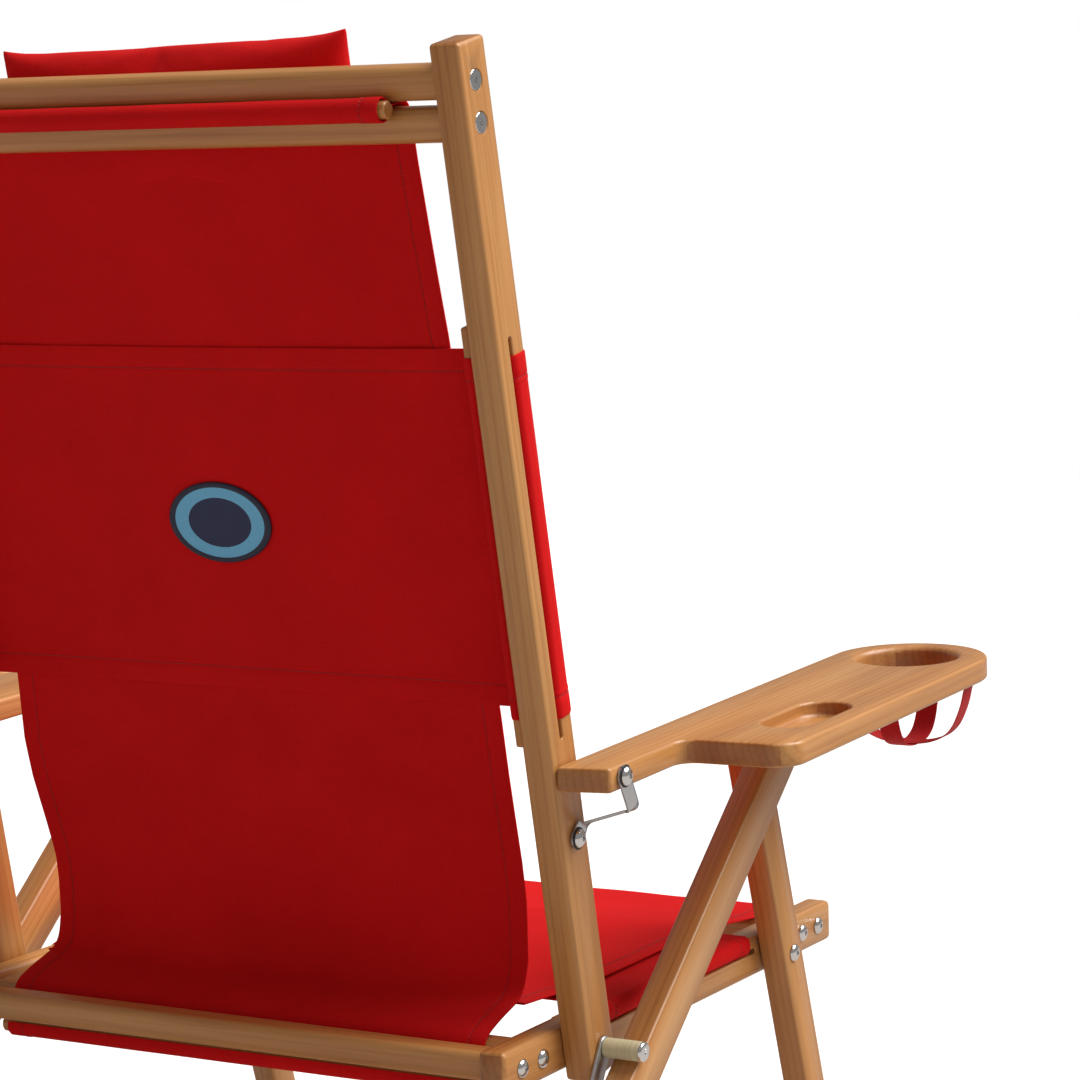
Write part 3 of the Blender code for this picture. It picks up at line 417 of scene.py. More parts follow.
def prism_mesh(name, points, thickness, axes):
    """Flat outline given thickness, with clean side walls."""
    work = bmesh.new()
    rings = []
    for height in (-thickness / 2, thickness / 2):
        rings.append([work.verts.new(axes @ Vector((u, v, height))) for u, v in points])
    work.faces.new(rings[0])
    work.faces.new(rings[1][::-1])
    count = len(points)
    for i in range(count):
        j = (i + 1) % count
        work.faces.new((rings[0][i], rings[0][j], rings[1][j], rings[1][i]))
    return bmesh_to(name, work)


def side_axes(x):
    return Matrix(((0, 0, 1, x), (1, 0, 0, 0), (0, 1, 0, 0), (0, 0, 0, 1)))


def arc(centre, radius, start, end, count):
    points = []
    for step in range(count + 1):
        angle = math.radians(start + (end - start) * step / count)
        points.append((centre[0] + radius * math.cos(angle), centre[1] + radius * math.sin(angle)))
    return points


def stadium(first, second, radius, count=12):
    return arc(second, radius, 0, 180, count) + arc(first, radius, 180, 360, count)


def rounded_section(width, height, radius, count=6):
    """Rounded rectangle, centred, for a bar's section."""
    points = []
    for sx, sy, start in ((1, 1, 0), (-1, 1, 90), (-1, -1, 180), (1, -1, 270)):
        centre = (sx * (width / 2 - radius), sy * (height / 2 - radius))
        points += arc(centre, radius, start, start + 90, count)
    return points


def turned_mesh(name, profile, steps=40):
    """Solid of revolution about X from (x, radius) pairs; ends on the axis are closed."""
    work = bmesh.new()
    rings = []
    for x, radius in profile:
        if radius < 1e-6:
            rings.append([work.verts.new((x, 0.0, 0.0))])
        else:
            rings.append([work.verts.new((x, radius * math.cos(2 * math.pi * k / steps),
                                          radius * math.sin(2 * math.pi * k / steps))) for k in range(steps)])
    for first, second in zip(rings, rings[1:]):
        for k in range(steps):
            m = (k + 1) % steps
            if len(first) == 1:
                work.faces.new((first[0], second[m], second[k]))
            elif len(second) == 1:
                work.faces.new((first[k], first[m], second[0]))
            else:
                work.faces.new((first[k], first[m], second[m], second[k]))
    return bmesh_to(name, work)


def smooth(obj, angle=35.0):
    obj.data.shade_smooth()
    obj.data.set_sharp_from_angle(angle=math.radians(angle))


def bevel(obj, width, segments=3, angle=40.0):
    modifier = obj.modifiers.new("edges", "BEVEL")
    modifier.width = width
    modifier.segments = segments
    modifier.limit_method = "ANGLE"
    modifier.angle_limit = math.radians(angle)
    modifier.use_clamp_overlap = False
    modifier.harden_normals = True


def carve(obj, mesh):
    """Cuts a mesh, given in obj's own frame, out of obj."""
    cutter = new_object("cutter", mesh, obj.matrix_world.copy())
    bpy.context.view_layer.update()
    modifier = obj.modifiers.new("cut", "BOOLEAN")
    modifier.operation = "DIFFERENCE"
    modifier.solver = "EXACT"
    modifier.object = cutter
    settle(obj)
    bpy.data.objects.remove(cutter, do_unlink=True)


def dress(obj, material, body, *nodes, slot=None):
    """Material, body and the CAD nodes that a piece stands for."""
    if obj.data.users > 1:
        obj.data = obj.data.copy()
    obj.data.transform(obj.matrix_world)
    obj.matrix_world = Matrix.Identity(4)
    obj.data.materials.clear()
    obj.data.materials.append(material)
    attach(obj, body)
    if nodes:
        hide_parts(*nodes)
    return obj


# ---- wood ---------------------------------------------------------------------------
RANDOM = random.Random(7)


def mark_grain(obj, along):
    """Stores where each point lies in its own plank, and which faces cut across the grain."""
    mesh = obj.data
    count = len(mesh.vertices)
    points = np.zeros(count * 3)
    mesh.vertices.foreach_get("co", points)
    points = points.reshape(-1, 3)
    order = {"X": (1, 2, 0), "Y": (0, 2, 1), "Z": (0, 1, 2)}[along]
    offset = np.array([RANDOM.uniform(0.03, 0.11), RANDOM.uniform(-0.05, 0.05), RANDOM.uniform(-3, 3)])
    middle = (points.max(0) + points.min(0)) / 2
    placed = (points - middle)[:, order] + offset
    attribute = mesh.attributes.new("grain", "FLOAT_VECTOR", "POINT")
    attribute.data.foreach_set("vector", placed.astype(np.float32).ravel())
    axis = "XYZ".index(along)
    across = np.array([1.0 if abs(p.normal[axis]) > 0.8 else 0.0 for p in mesh.polygons], np.float32)
    ends = mesh.attributes.new("end_grain", "FLOAT", "FACE")
    ends.data.foreach_set("value", across)


def wooden(name, mesh, matrix, body, node, along, edge=0.0035, cuts=(), fine=0.0007):
    """A wooden member: its blank with eased edges, then what is cut in it with lightly broken rims."""
    obj = new_object(name, mesh, matrix)
    obj.data.shade_smooth()
    if edge:
        bevel(obj, edge)
        settle(obj)
    for cut in cuts:
        carve(obj, cut)
    if cuts and fine:
        obj.data.shade_smooth()
        bevel(obj, fine, 1, 50.0)
        settle(obj)
    smooth(obj)
    mark_grain(obj, along)
    return dress(obj, WOOD, body, node, slot="varnished_wood")


def hole_mesh(radius, x_from, x_to, y, z):
    mesh = turned_mesh("hole", [(x_from, 0.0), (x_from, radius), (x_to, radius), (x_to, 0.0)], 24)
    mesh.transform(Matrix.Translation((0.0, y, z)))
    return mesh


def make_uprights():
    for side_name, side in SIDES:
        middle = side * (OUTER_HALF - UPRIGHT / 2)
        blank = box_mesh("upright", (middle - UPRIGHT / 2, -BACK_DEPTH / 2, -BACK_BOTTOM),
                         (middle + UPRIGHT / 2, BACK_DEPTH / 2, BACK_TOP))
        slot = prism_mesh("slot", stadium((0.0, SLOT_LOW), (0.0, SLOT_HIGH), SLOT_WIDTH / 2, 6), 2 * STICK,
                          side_axes(middle))
        cuts = [slot]
        for height in (TOP_BAR, TOP_BAR - TOP_BAR_PITCH):
            ends = sorted((side * (OUTER_HALF - 0.0030), side * (OUTER_HALF + 0.0100)))
            cuts.append(hole_mesh(0.0086, ends[0], ends[1], 0.0, height))
        wooden("wood_upright_" + side_name, blank, BACK, "back", "upright_" + side_name, "Z", cuts=cuts)


def bar_mesh(name, half, width, height, radius, centre):
    """Bar along X with rounded long edges; width along Y, height along Z."""
    axes = Matrix(((0, 0, 1, 0), (1, 0, 0, centre[0]), (0, 1, 0, centre[1]), (0, 0, 0, 1)))
    return prism_mesh(name, rounded_section(width, height, radius), 2 * half, axes)


def make_bars():
    for label, height in (("upper", TOP_BAR), ("lower", TOP_BAR - TOP_BAR_PITCH)):
        mesh = bar_mesh("top_bar", BACK_INNER - GAP, BAR_THICK, BAR_WIDTH, 0.0085, (0.0, height))
        wooden("wood_top_bar_" + label, mesh, BACK, "back", "top_bar_" + label, "X", edge=0)
    rear = RAIL_BEHIND - BAR_MARGIN
    front = -RAIL_AHEAD + BAR_MARGIN
    places = {"rear_bar_outer": rear, "rear_bar_inner": rear - BAR_PITCH,
              "front_bar_inner": front + BAR_PITCH, "front_bar_outer": front}
    for name, place in places.items():
        mesh = bar_mesh("seat_bar", RAIL_INNER - GAP, BAR_WIDTH, BAR_THICK, 0.0070, (place, 0.0))
        wooden("wood_" + name, mesh, SEAT, "seat", name, "X", edge=0)
    return places


def make_rails():
    for side_name, side in SIDES:
        ends = sorted((side * RAIL_INNER, side * RAIL_OUTER))
        blank = box_mesh("rail", (ends[0], -RAIL_AHEAD, -RAIL_DEPTH / 2),
                         (ends[1], RAIL_BEHIND, RAIL_DEPTH / 2))
        outline = [(u, v) for v, u in stadium((SEAT_SLOT_Z, SEAT_BAND_FRONT - 0.010),
                                              (SEAT_SLOT_Z, SEAT_BAND_REAR + 0.010), SLOT_WIDTH / 2, 6)]
        slot = prism_mesh("slot", outline, 2 * STICK, side_axes(side * (RAIL_OUTER - STICK / 2)))
        wooden("wood_seat_rail_" + side_name, blank, SEAT, "seat", "seat_rail_" + side_name, "Y", edge=0.0050,
               cuts=[slot])


def leg_outline(depth, top, foot, tilt, shift=0.0):
    slope = math.tan(tilt)
    half = depth / 2
    points = arc((0.0, top), half, 0, 180, 14)
    points += [(-half, foot + half * slope), (half, foot - half * slope)]
    return [(u + shift, v) for u, v in points]


def make_legs():
    front_foot = -JOINT_AT["fold"][2] / math.cos(FRONT_TILT)
    rear_foot = -(JOINT_AT["back_fold"][2] - GUIDE_OFFSET * math.sin(REAR_TILT)) / math.cos(REAR_TILT)
    for side_name, side in SIDES:
        outline = leg_outline(FRONT_DEPTH, FRONT_UPPER, front_foot, -FRONT_TILT)
        mesh = prism_mesh("front_leg", outline, STICK, side_axes(side * (OUTER_HALF - STICK / 2)))
        wooden("wood_front_leg_" + side_name, mesh, FRONT_LEGS, "front_legs", "front_leg_" + side_name, "Z",
               edge=0.0030)
        outline = leg_outline(REAR_DEPTH, REAR_TOP, rear_foot, REAR_TILT, -GUIDE_OFFSET)
        mesh = prism_mesh("rear_leg", outline, STICK, side_axes(side * (REAR_INNER + STICK / 2)))
        wooden("wood_rear_leg_" + side_name, mesh, REAR_LEGS, "rear_legs", "rear_leg_" + side_name, "Z",
               edge=0.0030)


def make_rod(name, radius, half, matrix, place, body, node, end=0.0012):
    profile = [(-half, 0.0), (-half, radius - end), (-half + end, radius), (half - end, radius),
               (half, radius - end), (half, 0.0)]
    mesh = turned_mesh(name, profile, 32)
    mesh.transform(Matrix.Translation((0.0, *place)))
    return wooden(name, mesh, matrix, body, node, "X", edge=0)


def make_rods(places):
    make_rod("wood_front_stretcher", 0.0125, INNER_HALF - GAP, FRONT_LEGS, (0.0, -STRETCHER_DROP),
             "front_legs", "front_stretcher")
    make_rod("wood_rear_stretcher", 0.0125, REAR_INNER - GAP, REAR_LEGS, (-GUIDE_OFFSET, -REAR_STRETCHER),
             "rear_legs", "rear_stretcher")
    centre = top_roll_centre()
    make_rod("wood_back_dowel", DOWEL_RADIUS, SLING_HALF + 0.0015, BACK, centre, "back", "back_sling_dowel")
    for label in ("rear", "front"):
        centre = (gap_middle(places, label), -ROLL_DROP)
        make_rod("wood_%s_dowel" % label, DOWEL_RADIUS, SLING_HALF + 0.0015, SEAT, centre, "seat",
                 label + "_sling_dowel")


ROLL_DROP = BAR_THICK / 2 + ROLL_RADIUS + 0.0015


def top_roll_centre():
    return (BAR_THICK / 2 + ROLL_RADIUS + 0.0015, TOP_BAR - TOP_BAR_PITCH / 2)


def gap_middle(places, label):
    return (places[label + "_bar_outer"] + places[label + "_bar_inner"]) / 2


def arm_outline(side):
    nose = ARM_WIDTH / 2
    edge = NECK_LENGTH
    points = [(0.0, NECK_SKEW), (NECK_WIDTH, 0.0)]
    points += arc((NECK_WIDTH + SHOULDER_IN, -(edge - SHOULDER_IN - 0.004)), SHOULDER_IN, 180, 262, 10)
    points += arc((ARM_WIDTH - SHOULDER_OUT, -(edge + SHOULDER_OUT - 0.002)), SHOULDER_OUT, 98, 0, 12)
    points += arc((nose, -(ARM_LENGTH - nose)), nose, 0, -180, 36)
    return [(side * u, v) for u, v in points]


def flared_mesh(first, second, radius, levels):
    """Cutter with a stadium plan whose radius grows by each level's spread. levels are (z, spread)."""
    work = bmesh.new()
    rings = []
    for height, spread in levels:
        outline = stadium(first, second, radius + spread, 24)
        rings.append([work.verts.new((u, v, height)) for u, v in outline])
    count = len(rings[0])
    for low, high in zip(rings, rings[1:]):
        for i in range(count):
            j = (i + 1) % count
            work.faces.new((low[i], low[j], high[j], high[i]))
    work.faces.new(rings[0][::-1])
    work.faces.new(rings[-1])
    return bmesh_to("cutter", work)


def flare(top, radius):
    """Quarter-round opening out to a face at a height."""
    turns = [math.radians(15 * k) for k in range(7)]
    levels = [(top - radius + radius * math.sin(a), radius * (1 - math.cos(a))) for a in turns]
    return levels + [(top + 0.010, radius)]


def make_arms():
    base = ARM_RISE - ARM_THICK / 2
    for side_name, side in SIDES:
        inner = side * (OUTER_HALF + ARM_GAP)
        axes = Matrix.Translation((inner, ARM_BACK, base))
        arm = new_object("wood_arm_" + side_name, prism_mesh("arm", arm_outline(side), ARM_THICK, axes), ARM)
        arm.data.shade_smooth()
        bevel(arm, 0.0034, 4)
        settle(arm)
        centre = (inner + side * CUP_ASIDE, ARM_BACK - CUP_AHEAD)
        bottom = ARM_RISE - ARM_THICK
        under = [(2 * bottom - z, spread) for z, spread in flare(bottom, 0.0020)[::-1]]
        carve(arm, flared_mesh(centre, centre, CUP_RADIUS, under + flare(ARM_RISE, 0.0062)))
        ends = [(inner + side * TRAY_ASIDE, ARM_BACK - reach) for reach in (TRAY_FAR, TRAY_NEAR)]
        floor = ARM_RISE - TRAY_DEPTH
        levels = [(floor, -0.0045), (floor + 0.0004, -0.0026), (floor + 0.0016, -0.0009),
                  (floor + 0.0035, 0.0)]
        carve(arm, flared_mesh(*ends, TRAY_RADIUS, levels + flare(ARM_RISE, 0.0030)))
        arm.data.shade_smooth()
        smooth(arm)
        mark_grain(arm, "Y")
        dress(arm, WOOD, "arm_" + side_name, "arm_" + side_name, slot="varnished_wood")


def make_battens():
    half = (0.0040, 0.0070)
    for side_name, side in SIDES:
        x = side * (BACK_INNER - 0.0052 - half[0])
        mesh = box_mesh("batten", (x - half[0], -half[1], BAND_LOW - 0.024),
                        (x + half[0], half[1], BAND_HIGH + 0.024))
        wooden("wood_lumbar_batten_" + side_name, mesh, BACK, "back", "lumbar_batten_" + side_name, "Z",
               edge=0.0018)
        x = side * (RAIL_INNER - 0.0052 - half[0])
        mesh = box_mesh("batten", (x - half[0], SEAT_BAND_FRONT - 0.024, SEAT_SLOT_Z - half[1]),
                        (x + half[0], SEAT_BAND_REAR + 0.024, SEAT_SLOT_Z + half[1]))
        wooden("wood_seat_batten_" + side_name, mesh, SEAT, "seat", "seat_batten_" + side_name, "Y",
               edge=0.0018)


# ---- cloth --------------------------------------------------------------------------
def resample(path, step):
    """Points every step or so along a path, with the distance to each."""
    path = [Vector(p) for p in path]
    lengths = [0.0]
    for first, second in zip(path, path[1:]):
        lengths.append(lengths[-1] + (second - first).length)
    count = max(2, int(math.ceil(lengths[-1] / step)))
    result, at = [], []
    index = 0
    for k in range(count + 1):
        want = lengths[-1] * k / count
        while index < len(path) - 2 and lengths[index + 1] < want:
            index += 1
        part = (want - lengths[index]) / max(lengths[index + 1] - lengths[index], 1e-9)
        result.append(path[index].lerp(path[index + 1], min(max(part, 0.0), 1.0)))
        at.append(want)
    return result, at


def round_corners(points, radius, count=5):
    result = [points[0]]
    for before, corner, after in zip(points, points[1:], points[2:]):
        ends = []
        for other in (before, after):
            step = Vector(other) - Vector(corner)
            reach = min(radius, step.length * 0.48)
            ends.append(Vector(corner) + step.normalized() * reach)
        for k in range(count + 1):
            t = k / count
            result.append(tuple((1 - t) ** 2 * ends[0] + 2 * t * (1 - t) * Vector(corner) + t * t * ends[1]))
    result.append(points[-1])
    return result


def hem_columns(half, hem, middle_step):
    """Places across a cloth from -half to half, close together over the hems."""
    near = [0.0, 0.0012, 0.0040, 0.0100, hem - 0.0048, hem - 0.0038, hem - 0.0028, hem - 0.0008, hem + 0.0004,
            hem + 0.0020]
    left = [-half + d for d in near]
    span = 2 * (half - near[-1])
    count = max(2, int(round(span / middle_step)))
    middle = [left[-1] + span * k / count for k in range(1, count)]
    return left + middle + [-x for x in left[::-1]]


def hem_thickness(distance, hem):
    """Half thickness of the cloth at a distance from its hemmed edge."""
    if distance < 0.0006:
        return CLOTH * 0.55
    if distance < hem:
        groove = 0.65 * CLOTH * math.exp(-((distance - (hem - 0.0038)) / 0.0007) ** 2)
        return CLOTH * 0.95 - groove
    if distance < hem + 0.0010:
        return CLOTH * 0.62
    return CLOTH * 0.5


def thick_sheet(name, points, halves, coords):
    """Closed cloth solid round a grid of points. halves is the half thickness at each point."""
    points = np.asarray(points, float)
    rows, cols = points.shape[:2]
    along = np.gradient(points, axis=0)
    across = np.gradient(points, axis=1)
    normals = np.cross(along, across)
    normals /= np.maximum(np.linalg.norm(normals, axis=2, keepdims=True), 1e-12)
    offset = normals * np.asarray(halves)[..., None]
    vertices = np.concatenate([(points + offset).reshape(-1, 3), (points - offset).reshape(-1, 3)])
    total = rows * cols
    faces = []
    for i in range(rows - 1):
        for j in range(cols - 1):
            a, b, c, d = i * cols + j, i * cols + j + 1, (i + 1) * cols + j + 1, (i + 1) * cols + j
            faces.append((a, d, c, b))
            faces.append((a + total, b + total, c + total, d + total))
    rim = [j for j in range(cols)] + [i * cols + cols - 1 for i in range(1, rows)]
    rim += [(rows - 1) * cols + j for j in range(cols - 2, -1, -1)]
    rim += [i * cols for i in range(rows - 2, 0, -1)]
    for a, b in zip(rim, rim[1:] + rim[:1]):
        faces.append((a, b, b + total, a + total))
    mesh = bpy.data.meshes.new(name)
    mesh.from_pydata([tuple(v) for v in vertices], [], faces)
    mesh.validate()
    work = bmesh.new()
    work.from_mesh(mesh)
    bmesh.ops.recalc_face_normals(work, faces=work.faces)
    work.to_mesh(mesh)
    work.free()
    flat = np.asarray(coords, np.float32).reshape(-1, 3)
    attribute = mesh.attributes.new("cloth", "FLOAT_VECTOR", "POINT")
    attribute.data.foreach_set("vector", np.concatenate([flat, flat]).ravel())
    mesh.shade_smooth()
    mesh.set_sharp_from_angle(angle=math.radians(60))
    return mesh, normals


def stitch_mesh(name, line, normals, lift, pitch=STITCH_PITCH, length=0.0027, radius=0.00033):
    """A row of short thread stitches along a line on a cloth."""
    line = np.asarray(line, float)
    steps = np.linalg.norm(np.diff(line, axis=0), axis=1)
    at = np.concatenate([[0.0], np.cumsum(steps)])
    ring = 6
    vertices, faces = [], []
    for k in range(int(at[-1] / pitch)):
        middle = (k + 0.5) * pitch
        ends = [np.array([np.interp(middle + s * length / 2, at, line[:, i]) for i in range(3)])
                for s in (-1, 1)]
        normal = np.array([np.interp(middle, at, normals[:, i]) for i in range(3)])
        direction = ends[1] - ends[0]
        size = np.linalg.norm(direction)
        if size < 1e-6:
            continue
        direction /= size
        side = np.cross(direction, normal)
        side /= max(np.linalg.norm(side), 1e-9)
        up = np.cross(side, direction)
        first = len(vertices)
        for part, wide, rise in ((-0.5, 0.35, -0.3), (-0.3, 0.95, 0.5), (0.0, 1.0, 0.8), (0.3, 0.95, 0.5),
                                 (0.5, 0.35, -0.3)):
            centre = (ends[0] + ends[1]) / 2 + direction * size * part + up * (lift + radius * rise)
            for m in range(ring):
                angle = 2 * math.pi * m / ring
                vertices.append(centre + radius * wide * (math.cos(angle) * side + math.sin(angle) * up))
        for level in range(4):
            for m in range(ring):
                a = first + level * ring + m
                b = first + level * ring + (m + 1) % ring
                faces.append((a, b, b + ring, a + ring))
        faces.append(tuple(first + m for m in range(ring))[::-1])
        faces.append(tuple(first + 4 * ring + m for m in range(ring)))
    mesh = bpy.data.meshes.new(name)
    mesh.from_pydata([tuple(v) for v in vertices], [], faces)
    mesh.shade_smooth()
    return mesh


def join_meshes(name, meshes):
    work = bmesh.new()
    for mesh in meshes:
        work.from_mesh(mesh)
    mesh = bpy.data.meshes.new(name)
    work.to_mesh(mesh)
    work.free()
    mesh.shade_smooth()
    return mesh


def world_path(matrix, path):
    """A path in a member's side plane, as (y, z) of the row frame."""
    return [tuple((matrix @ Vector((0.0, u, v))).yz) for u, v in path]


def ripple(x, s, seed):
    """Gentle unevenness of stretched canvas."""
    return (0.0006 * math.sin(9 * x + 3.1 * s + seed) + 0.0005 * math.sin(23 * s - 6 * x + 2 * seed)
            + 0.0003 * math.sin(61 * x + 17 * s + seed))


def swept_cloth(name, path, edge_at, step, seed, hem=HEM):
    """Cloth that follows a side-plane path (y, z), hemmed along both sides.

    Returns the mesh and the two stitched lines with their normals."""
    points, at = resample([(0.0, y, z) for y, z in path], step)
    total = at[-1]
    base = hem_columns(SLING_HALF, hem, 0.012)
    grid, halves, coords = [], [], []
    for index, (place, s) in enumerate(zip(points, at)):
        before = points[max(index - 1, 0)]
        after = points[min(index + 1, len(points) - 1)]
        way = (after - before).normalized()
        normal = Vector((0.0, -way.z, way.y))
        edges = {sign: edge_at(place, sign) for sign in (1, -1)}
        row, thick, flat = [], [], []
        for x in base:
            wide = x / SLING_HALF * edges[1 if x > 0 else -1]
            calm = min(1.0, min(s, total - s) / 0.10)
            bump = ripple(x, s, seed) * calm
            row.append(tuple(Vector((wide, place.y, place.z)) + normal * bump))
            thick.append(hem_thickness(SLING_HALF - abs(x), hem))
            flat.append((x, s, 0.0))
        grid.append(row)
        halves.append(thick)
        coords.append(flat)
    mesh, normals = thick_sheet(name, grid, halves, coords)
    grid = np.asarray(grid)
    wanted = SLING_HALF - (hem - 0.0038)
    columns = [int(np.argmin(np.abs(np.array(base) - sign * wanted))) for sign in (-1, 1)]
    lines = [(grid[:, c], normals[:, c]) for c in columns]
    return mesh, lines, total


BEND = SEAT @ Vector((0.0, 0.0000, 0.0330))
# Rise above the bend, half width on the left, half width on the right.
SLING_EDGES = ((0.0, 0.2380, 0.2405), (0.030, 0.2360, 0.2450), (0.060, 0.2340, 0.2470),
               (0.080, 0.2340, 0.2480), (0.115, 0.2390, 0.2480), (0.155, 0.2455, 0.2465),
               (0.190, 0.2480, 0.2455), (0.250, 0.2450, 0.2450), (0.550, 0.2440, 0.2440),
               (0.780, 0.2410, 0.2410))


def sling_edge(place, sign):
    """Where the back's edge lies: it draws in a little above the bend, more on one side."""
    rise = max(0.0, (BACK.inverted() @ place).z - (BACK.inverted() @ BEND).z)
    heights = [row[0] for row in SLING_EDGES]
    return float(np.interp(rise, heights, [row[1 if sign > 0 else 2] for row in SLING_EDGES]))


def seat_edge(place, sign):
    return SLING_HALF


def stitch_rows(name, lines, extra=()):
    meshes = [stitch_mesh("row", line, normals * sign, CLOTH * 0.62)
              for line, normals in lines for sign in (-1, 1)]
    stitches = new_object(name, join_meshes(name, meshes + list(extra)))
    stitches.data.materials.append(THREAD)
    return stitches


def make_sling(places):
    """Back cloth: dowel roll, over the top bars, down the back, round the bend and over the rear bars."""
    gap_height = TOP_BAR - TOP_BAR_PITCH / 2
    front = -(BAR_THICK / 2 + 0.0012)
    roll = arc(top_roll_centre(), ROLL_RADIUS, -115, 215, 30)
    run = [(0.0100, gap_height), (front + 0.0008, gap_height), (front - 0.0010, gap_height - 0.0080),
           (front - 0.0015, 0.7300), (-0.0228, 0.5900), (-0.0232, 0.4300), (-0.0228, 0.2740),
           (-0.0190, 0.1200), (-0.0140, 0.0620)]
    back_path = world_path(BACK, roll + round_corners(run, 0.0040))
    rear_gap = gap_middle(places, "rear")
    top = BAR_THICK / 2 + 0.0020
    run = [(0.0010, 0.0345), (rear_gap - 0.0240, top + 0.0085), (rear_gap - 0.0020, top - 0.0010),
           (rear_gap, -0.0110)]
    roll = arc((rear_gap, -ROLL_DROP), ROLL_RADIUS, 55, 385, 30)
    path = round_corners(back_path[-1:] + world_path(SEAT, run), 0.0160, 10)
    path = back_path[:-1] + path + world_path(SEAT, roll)
    mesh, lines, length = swept_cloth("canvas_back", path, sling_edge, 0.0045, 0.4)
    sling = new_object("canvas_back", mesh)
    sling.data.materials.append(CANVAS)
    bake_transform(sling)
    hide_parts("back_sling")
    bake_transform(stitch_rows("back_stitches", lines))


def make_seat(places):
    """Seat cloth, sewn to the back cloth at the bend, over both front bars and rolled under them."""
    top = BAR_THICK / 2 + 0.0020
    front_gap = gap_middle(places, "front")
    nose = places["front_bar_outer"] - BAR_WIDTH / 2 - 0.0014
    run = [(0.0060, 0.0300), (-0.0060, 0.0290), (-0.0500, 0.0262), (-0.1000, 0.0240), (-0.3300, 0.0225),
           (front_gap + 0.0280, top + 0.0006), (nose, top - 0.0004), (nose, -top), (front_gap - 0.0060, -top)]
    roll = arc((front_gap, -ROLL_DROP), ROLL_RADIUS, 95, -215, 30)
    path = world_path(SEAT, round_corners(run, 0.0080, 8) + roll)
    mesh, lines, length = swept_cloth("canvas_seat", path, seat_edge, 0.0050, 1.7)
    seat = new_object("canvas_seat", mesh)
    dress(seat, CANVAS, "seat", "seat_sling", slot="red_canvas")
    half = SLING_HALF - 0.0130
    seam = SEAT @ Vector((0.0, 0.0020, 0.0306))
    line = [(x, seam.y, seam.z) for x in np.linspace(-half, half, 60)]
    row = stitch_mesh("row", line, np.tile((0.0, 0.10, 0.99), (60, 1)), 0.0002)
    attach(stitch_rows("seat_stitches", lines, [row]), "seat")


def band_section(outer, inner, depth, slot_offset):
    """Section of a band over two members: pocket round the batten, slot, outer face, front, and mirrored."""
    clear = GAP + CLOTH / 2
    batten = (0.0040, 0.0070)
    middle = inner - 0.0052 - batten[0]
    near, far = middle + batten[0] + 0.0008, middle - batten[0] - 0.0008
    half_wide = batten[1] + 0.0010
    front = -(depth / 2 + clear)
    wrap = outer + clear
    half = [(near, slot_offset - 0.0012), (near, slot_offset - half_wide), (far, slot_offset - half_wide),
            (far, slot_offset + half_wide), (near, slot_offset + half_wide),
            (near + 0.0004, slot_offset + 0.0008), (inner, slot_offset), (wrap - 0.0004, slot_offset),
            (wrap, slot_offset - 0.0030), (wrap, front + 0.0030), (wrap - 0.0030, front)]
    return round_corners(half + [(-x, v) for x, v in half[::-1]], 0.0028, 4)


def make_band(name, matrix, body, node, section, low, high, flip):
    """Band cloth: its section run along the members, hemmed along both long edges."""
    points, at = resample([(x, v, 0.0) for x, v in section], 0.0045)
    half = (high - low) / 2
    hem = 0.0220
    columns = hem_columns(half, hem, 0.014)
    grid, halves, coords = [], [], []
    for place, s in zip(points, at):
        main = min(1.0, max(0.0, (INNER_HALF - 0.03 - abs(place.x)) / 0.05))
        row, thick, flat = [], [], []
        for v in columns:
            sag = 0.0012 * main * math.cos(math.pi * v / (2 * half)) ** 2 if place.y < 0 else 0.0
            bump = main * 0.5 * ripple(place.x, v, 2.3)
            pull = 1.0 - 0.006 * main * (1 - (place.x / INNER_HALF) ** 2)
            at_side, at_front = place.x, place.y - sag * 0.3 + bump
            if flip:
                row.append((at_side, -v * pull - (low + high) / 2, -at_front))
            else:
                row.append((at_side, at_front, v * pull + (low + high) / 2))
            thick.append(hem_thickness(half - abs(v), hem))
            flat.append((v, s, 0.0))
        grid.append(row)
        halves.append(thick)
        coords.append(flat)
    mesh, normals = thick_sheet(name, grid, halves, coords)
    grid = np.asarray(grid)
    band = new_object(name, mesh, matrix)
    dress(band, CANVAS, body, node, slot="red_canvas")
    meshes = []
    for sign in (-1, 1):
        wanted = sign * (half - (hem - 0.0038))
        c = int(np.argmin(np.abs(np.array(columns) - wanted)))
        for face in (-1, 1):
            meshes.append(stitch_mesh("row", grid[:, c], normals[:, c] * face, CLOTH * 0.62))
    stitches = new_object(name + "_stitches", join_meshes(name + "_stitches", meshes), matrix)
    dress(stitches, THREAD, body, slot="red_canvas")


def make_bands():
    section = band_section(OUTER_HALF, BACK_INNER, BACK_DEPTH, 0.0)
    make_band("canvas_lumbar_band", BACK, "back", "lumbar_band", section, BAND_LOW, BAND_HIGH, False)
    section = band_section(RAIL_OUTER, RAIL_INNER, RAIL_DEPTH, -SEAT_SLOT_Z)
    make_band("canvas_seat_band", SEAT, "seat", "seat_band", section, -SEAT_BAND_REAR, -SEAT_BAND_FRONT, True)


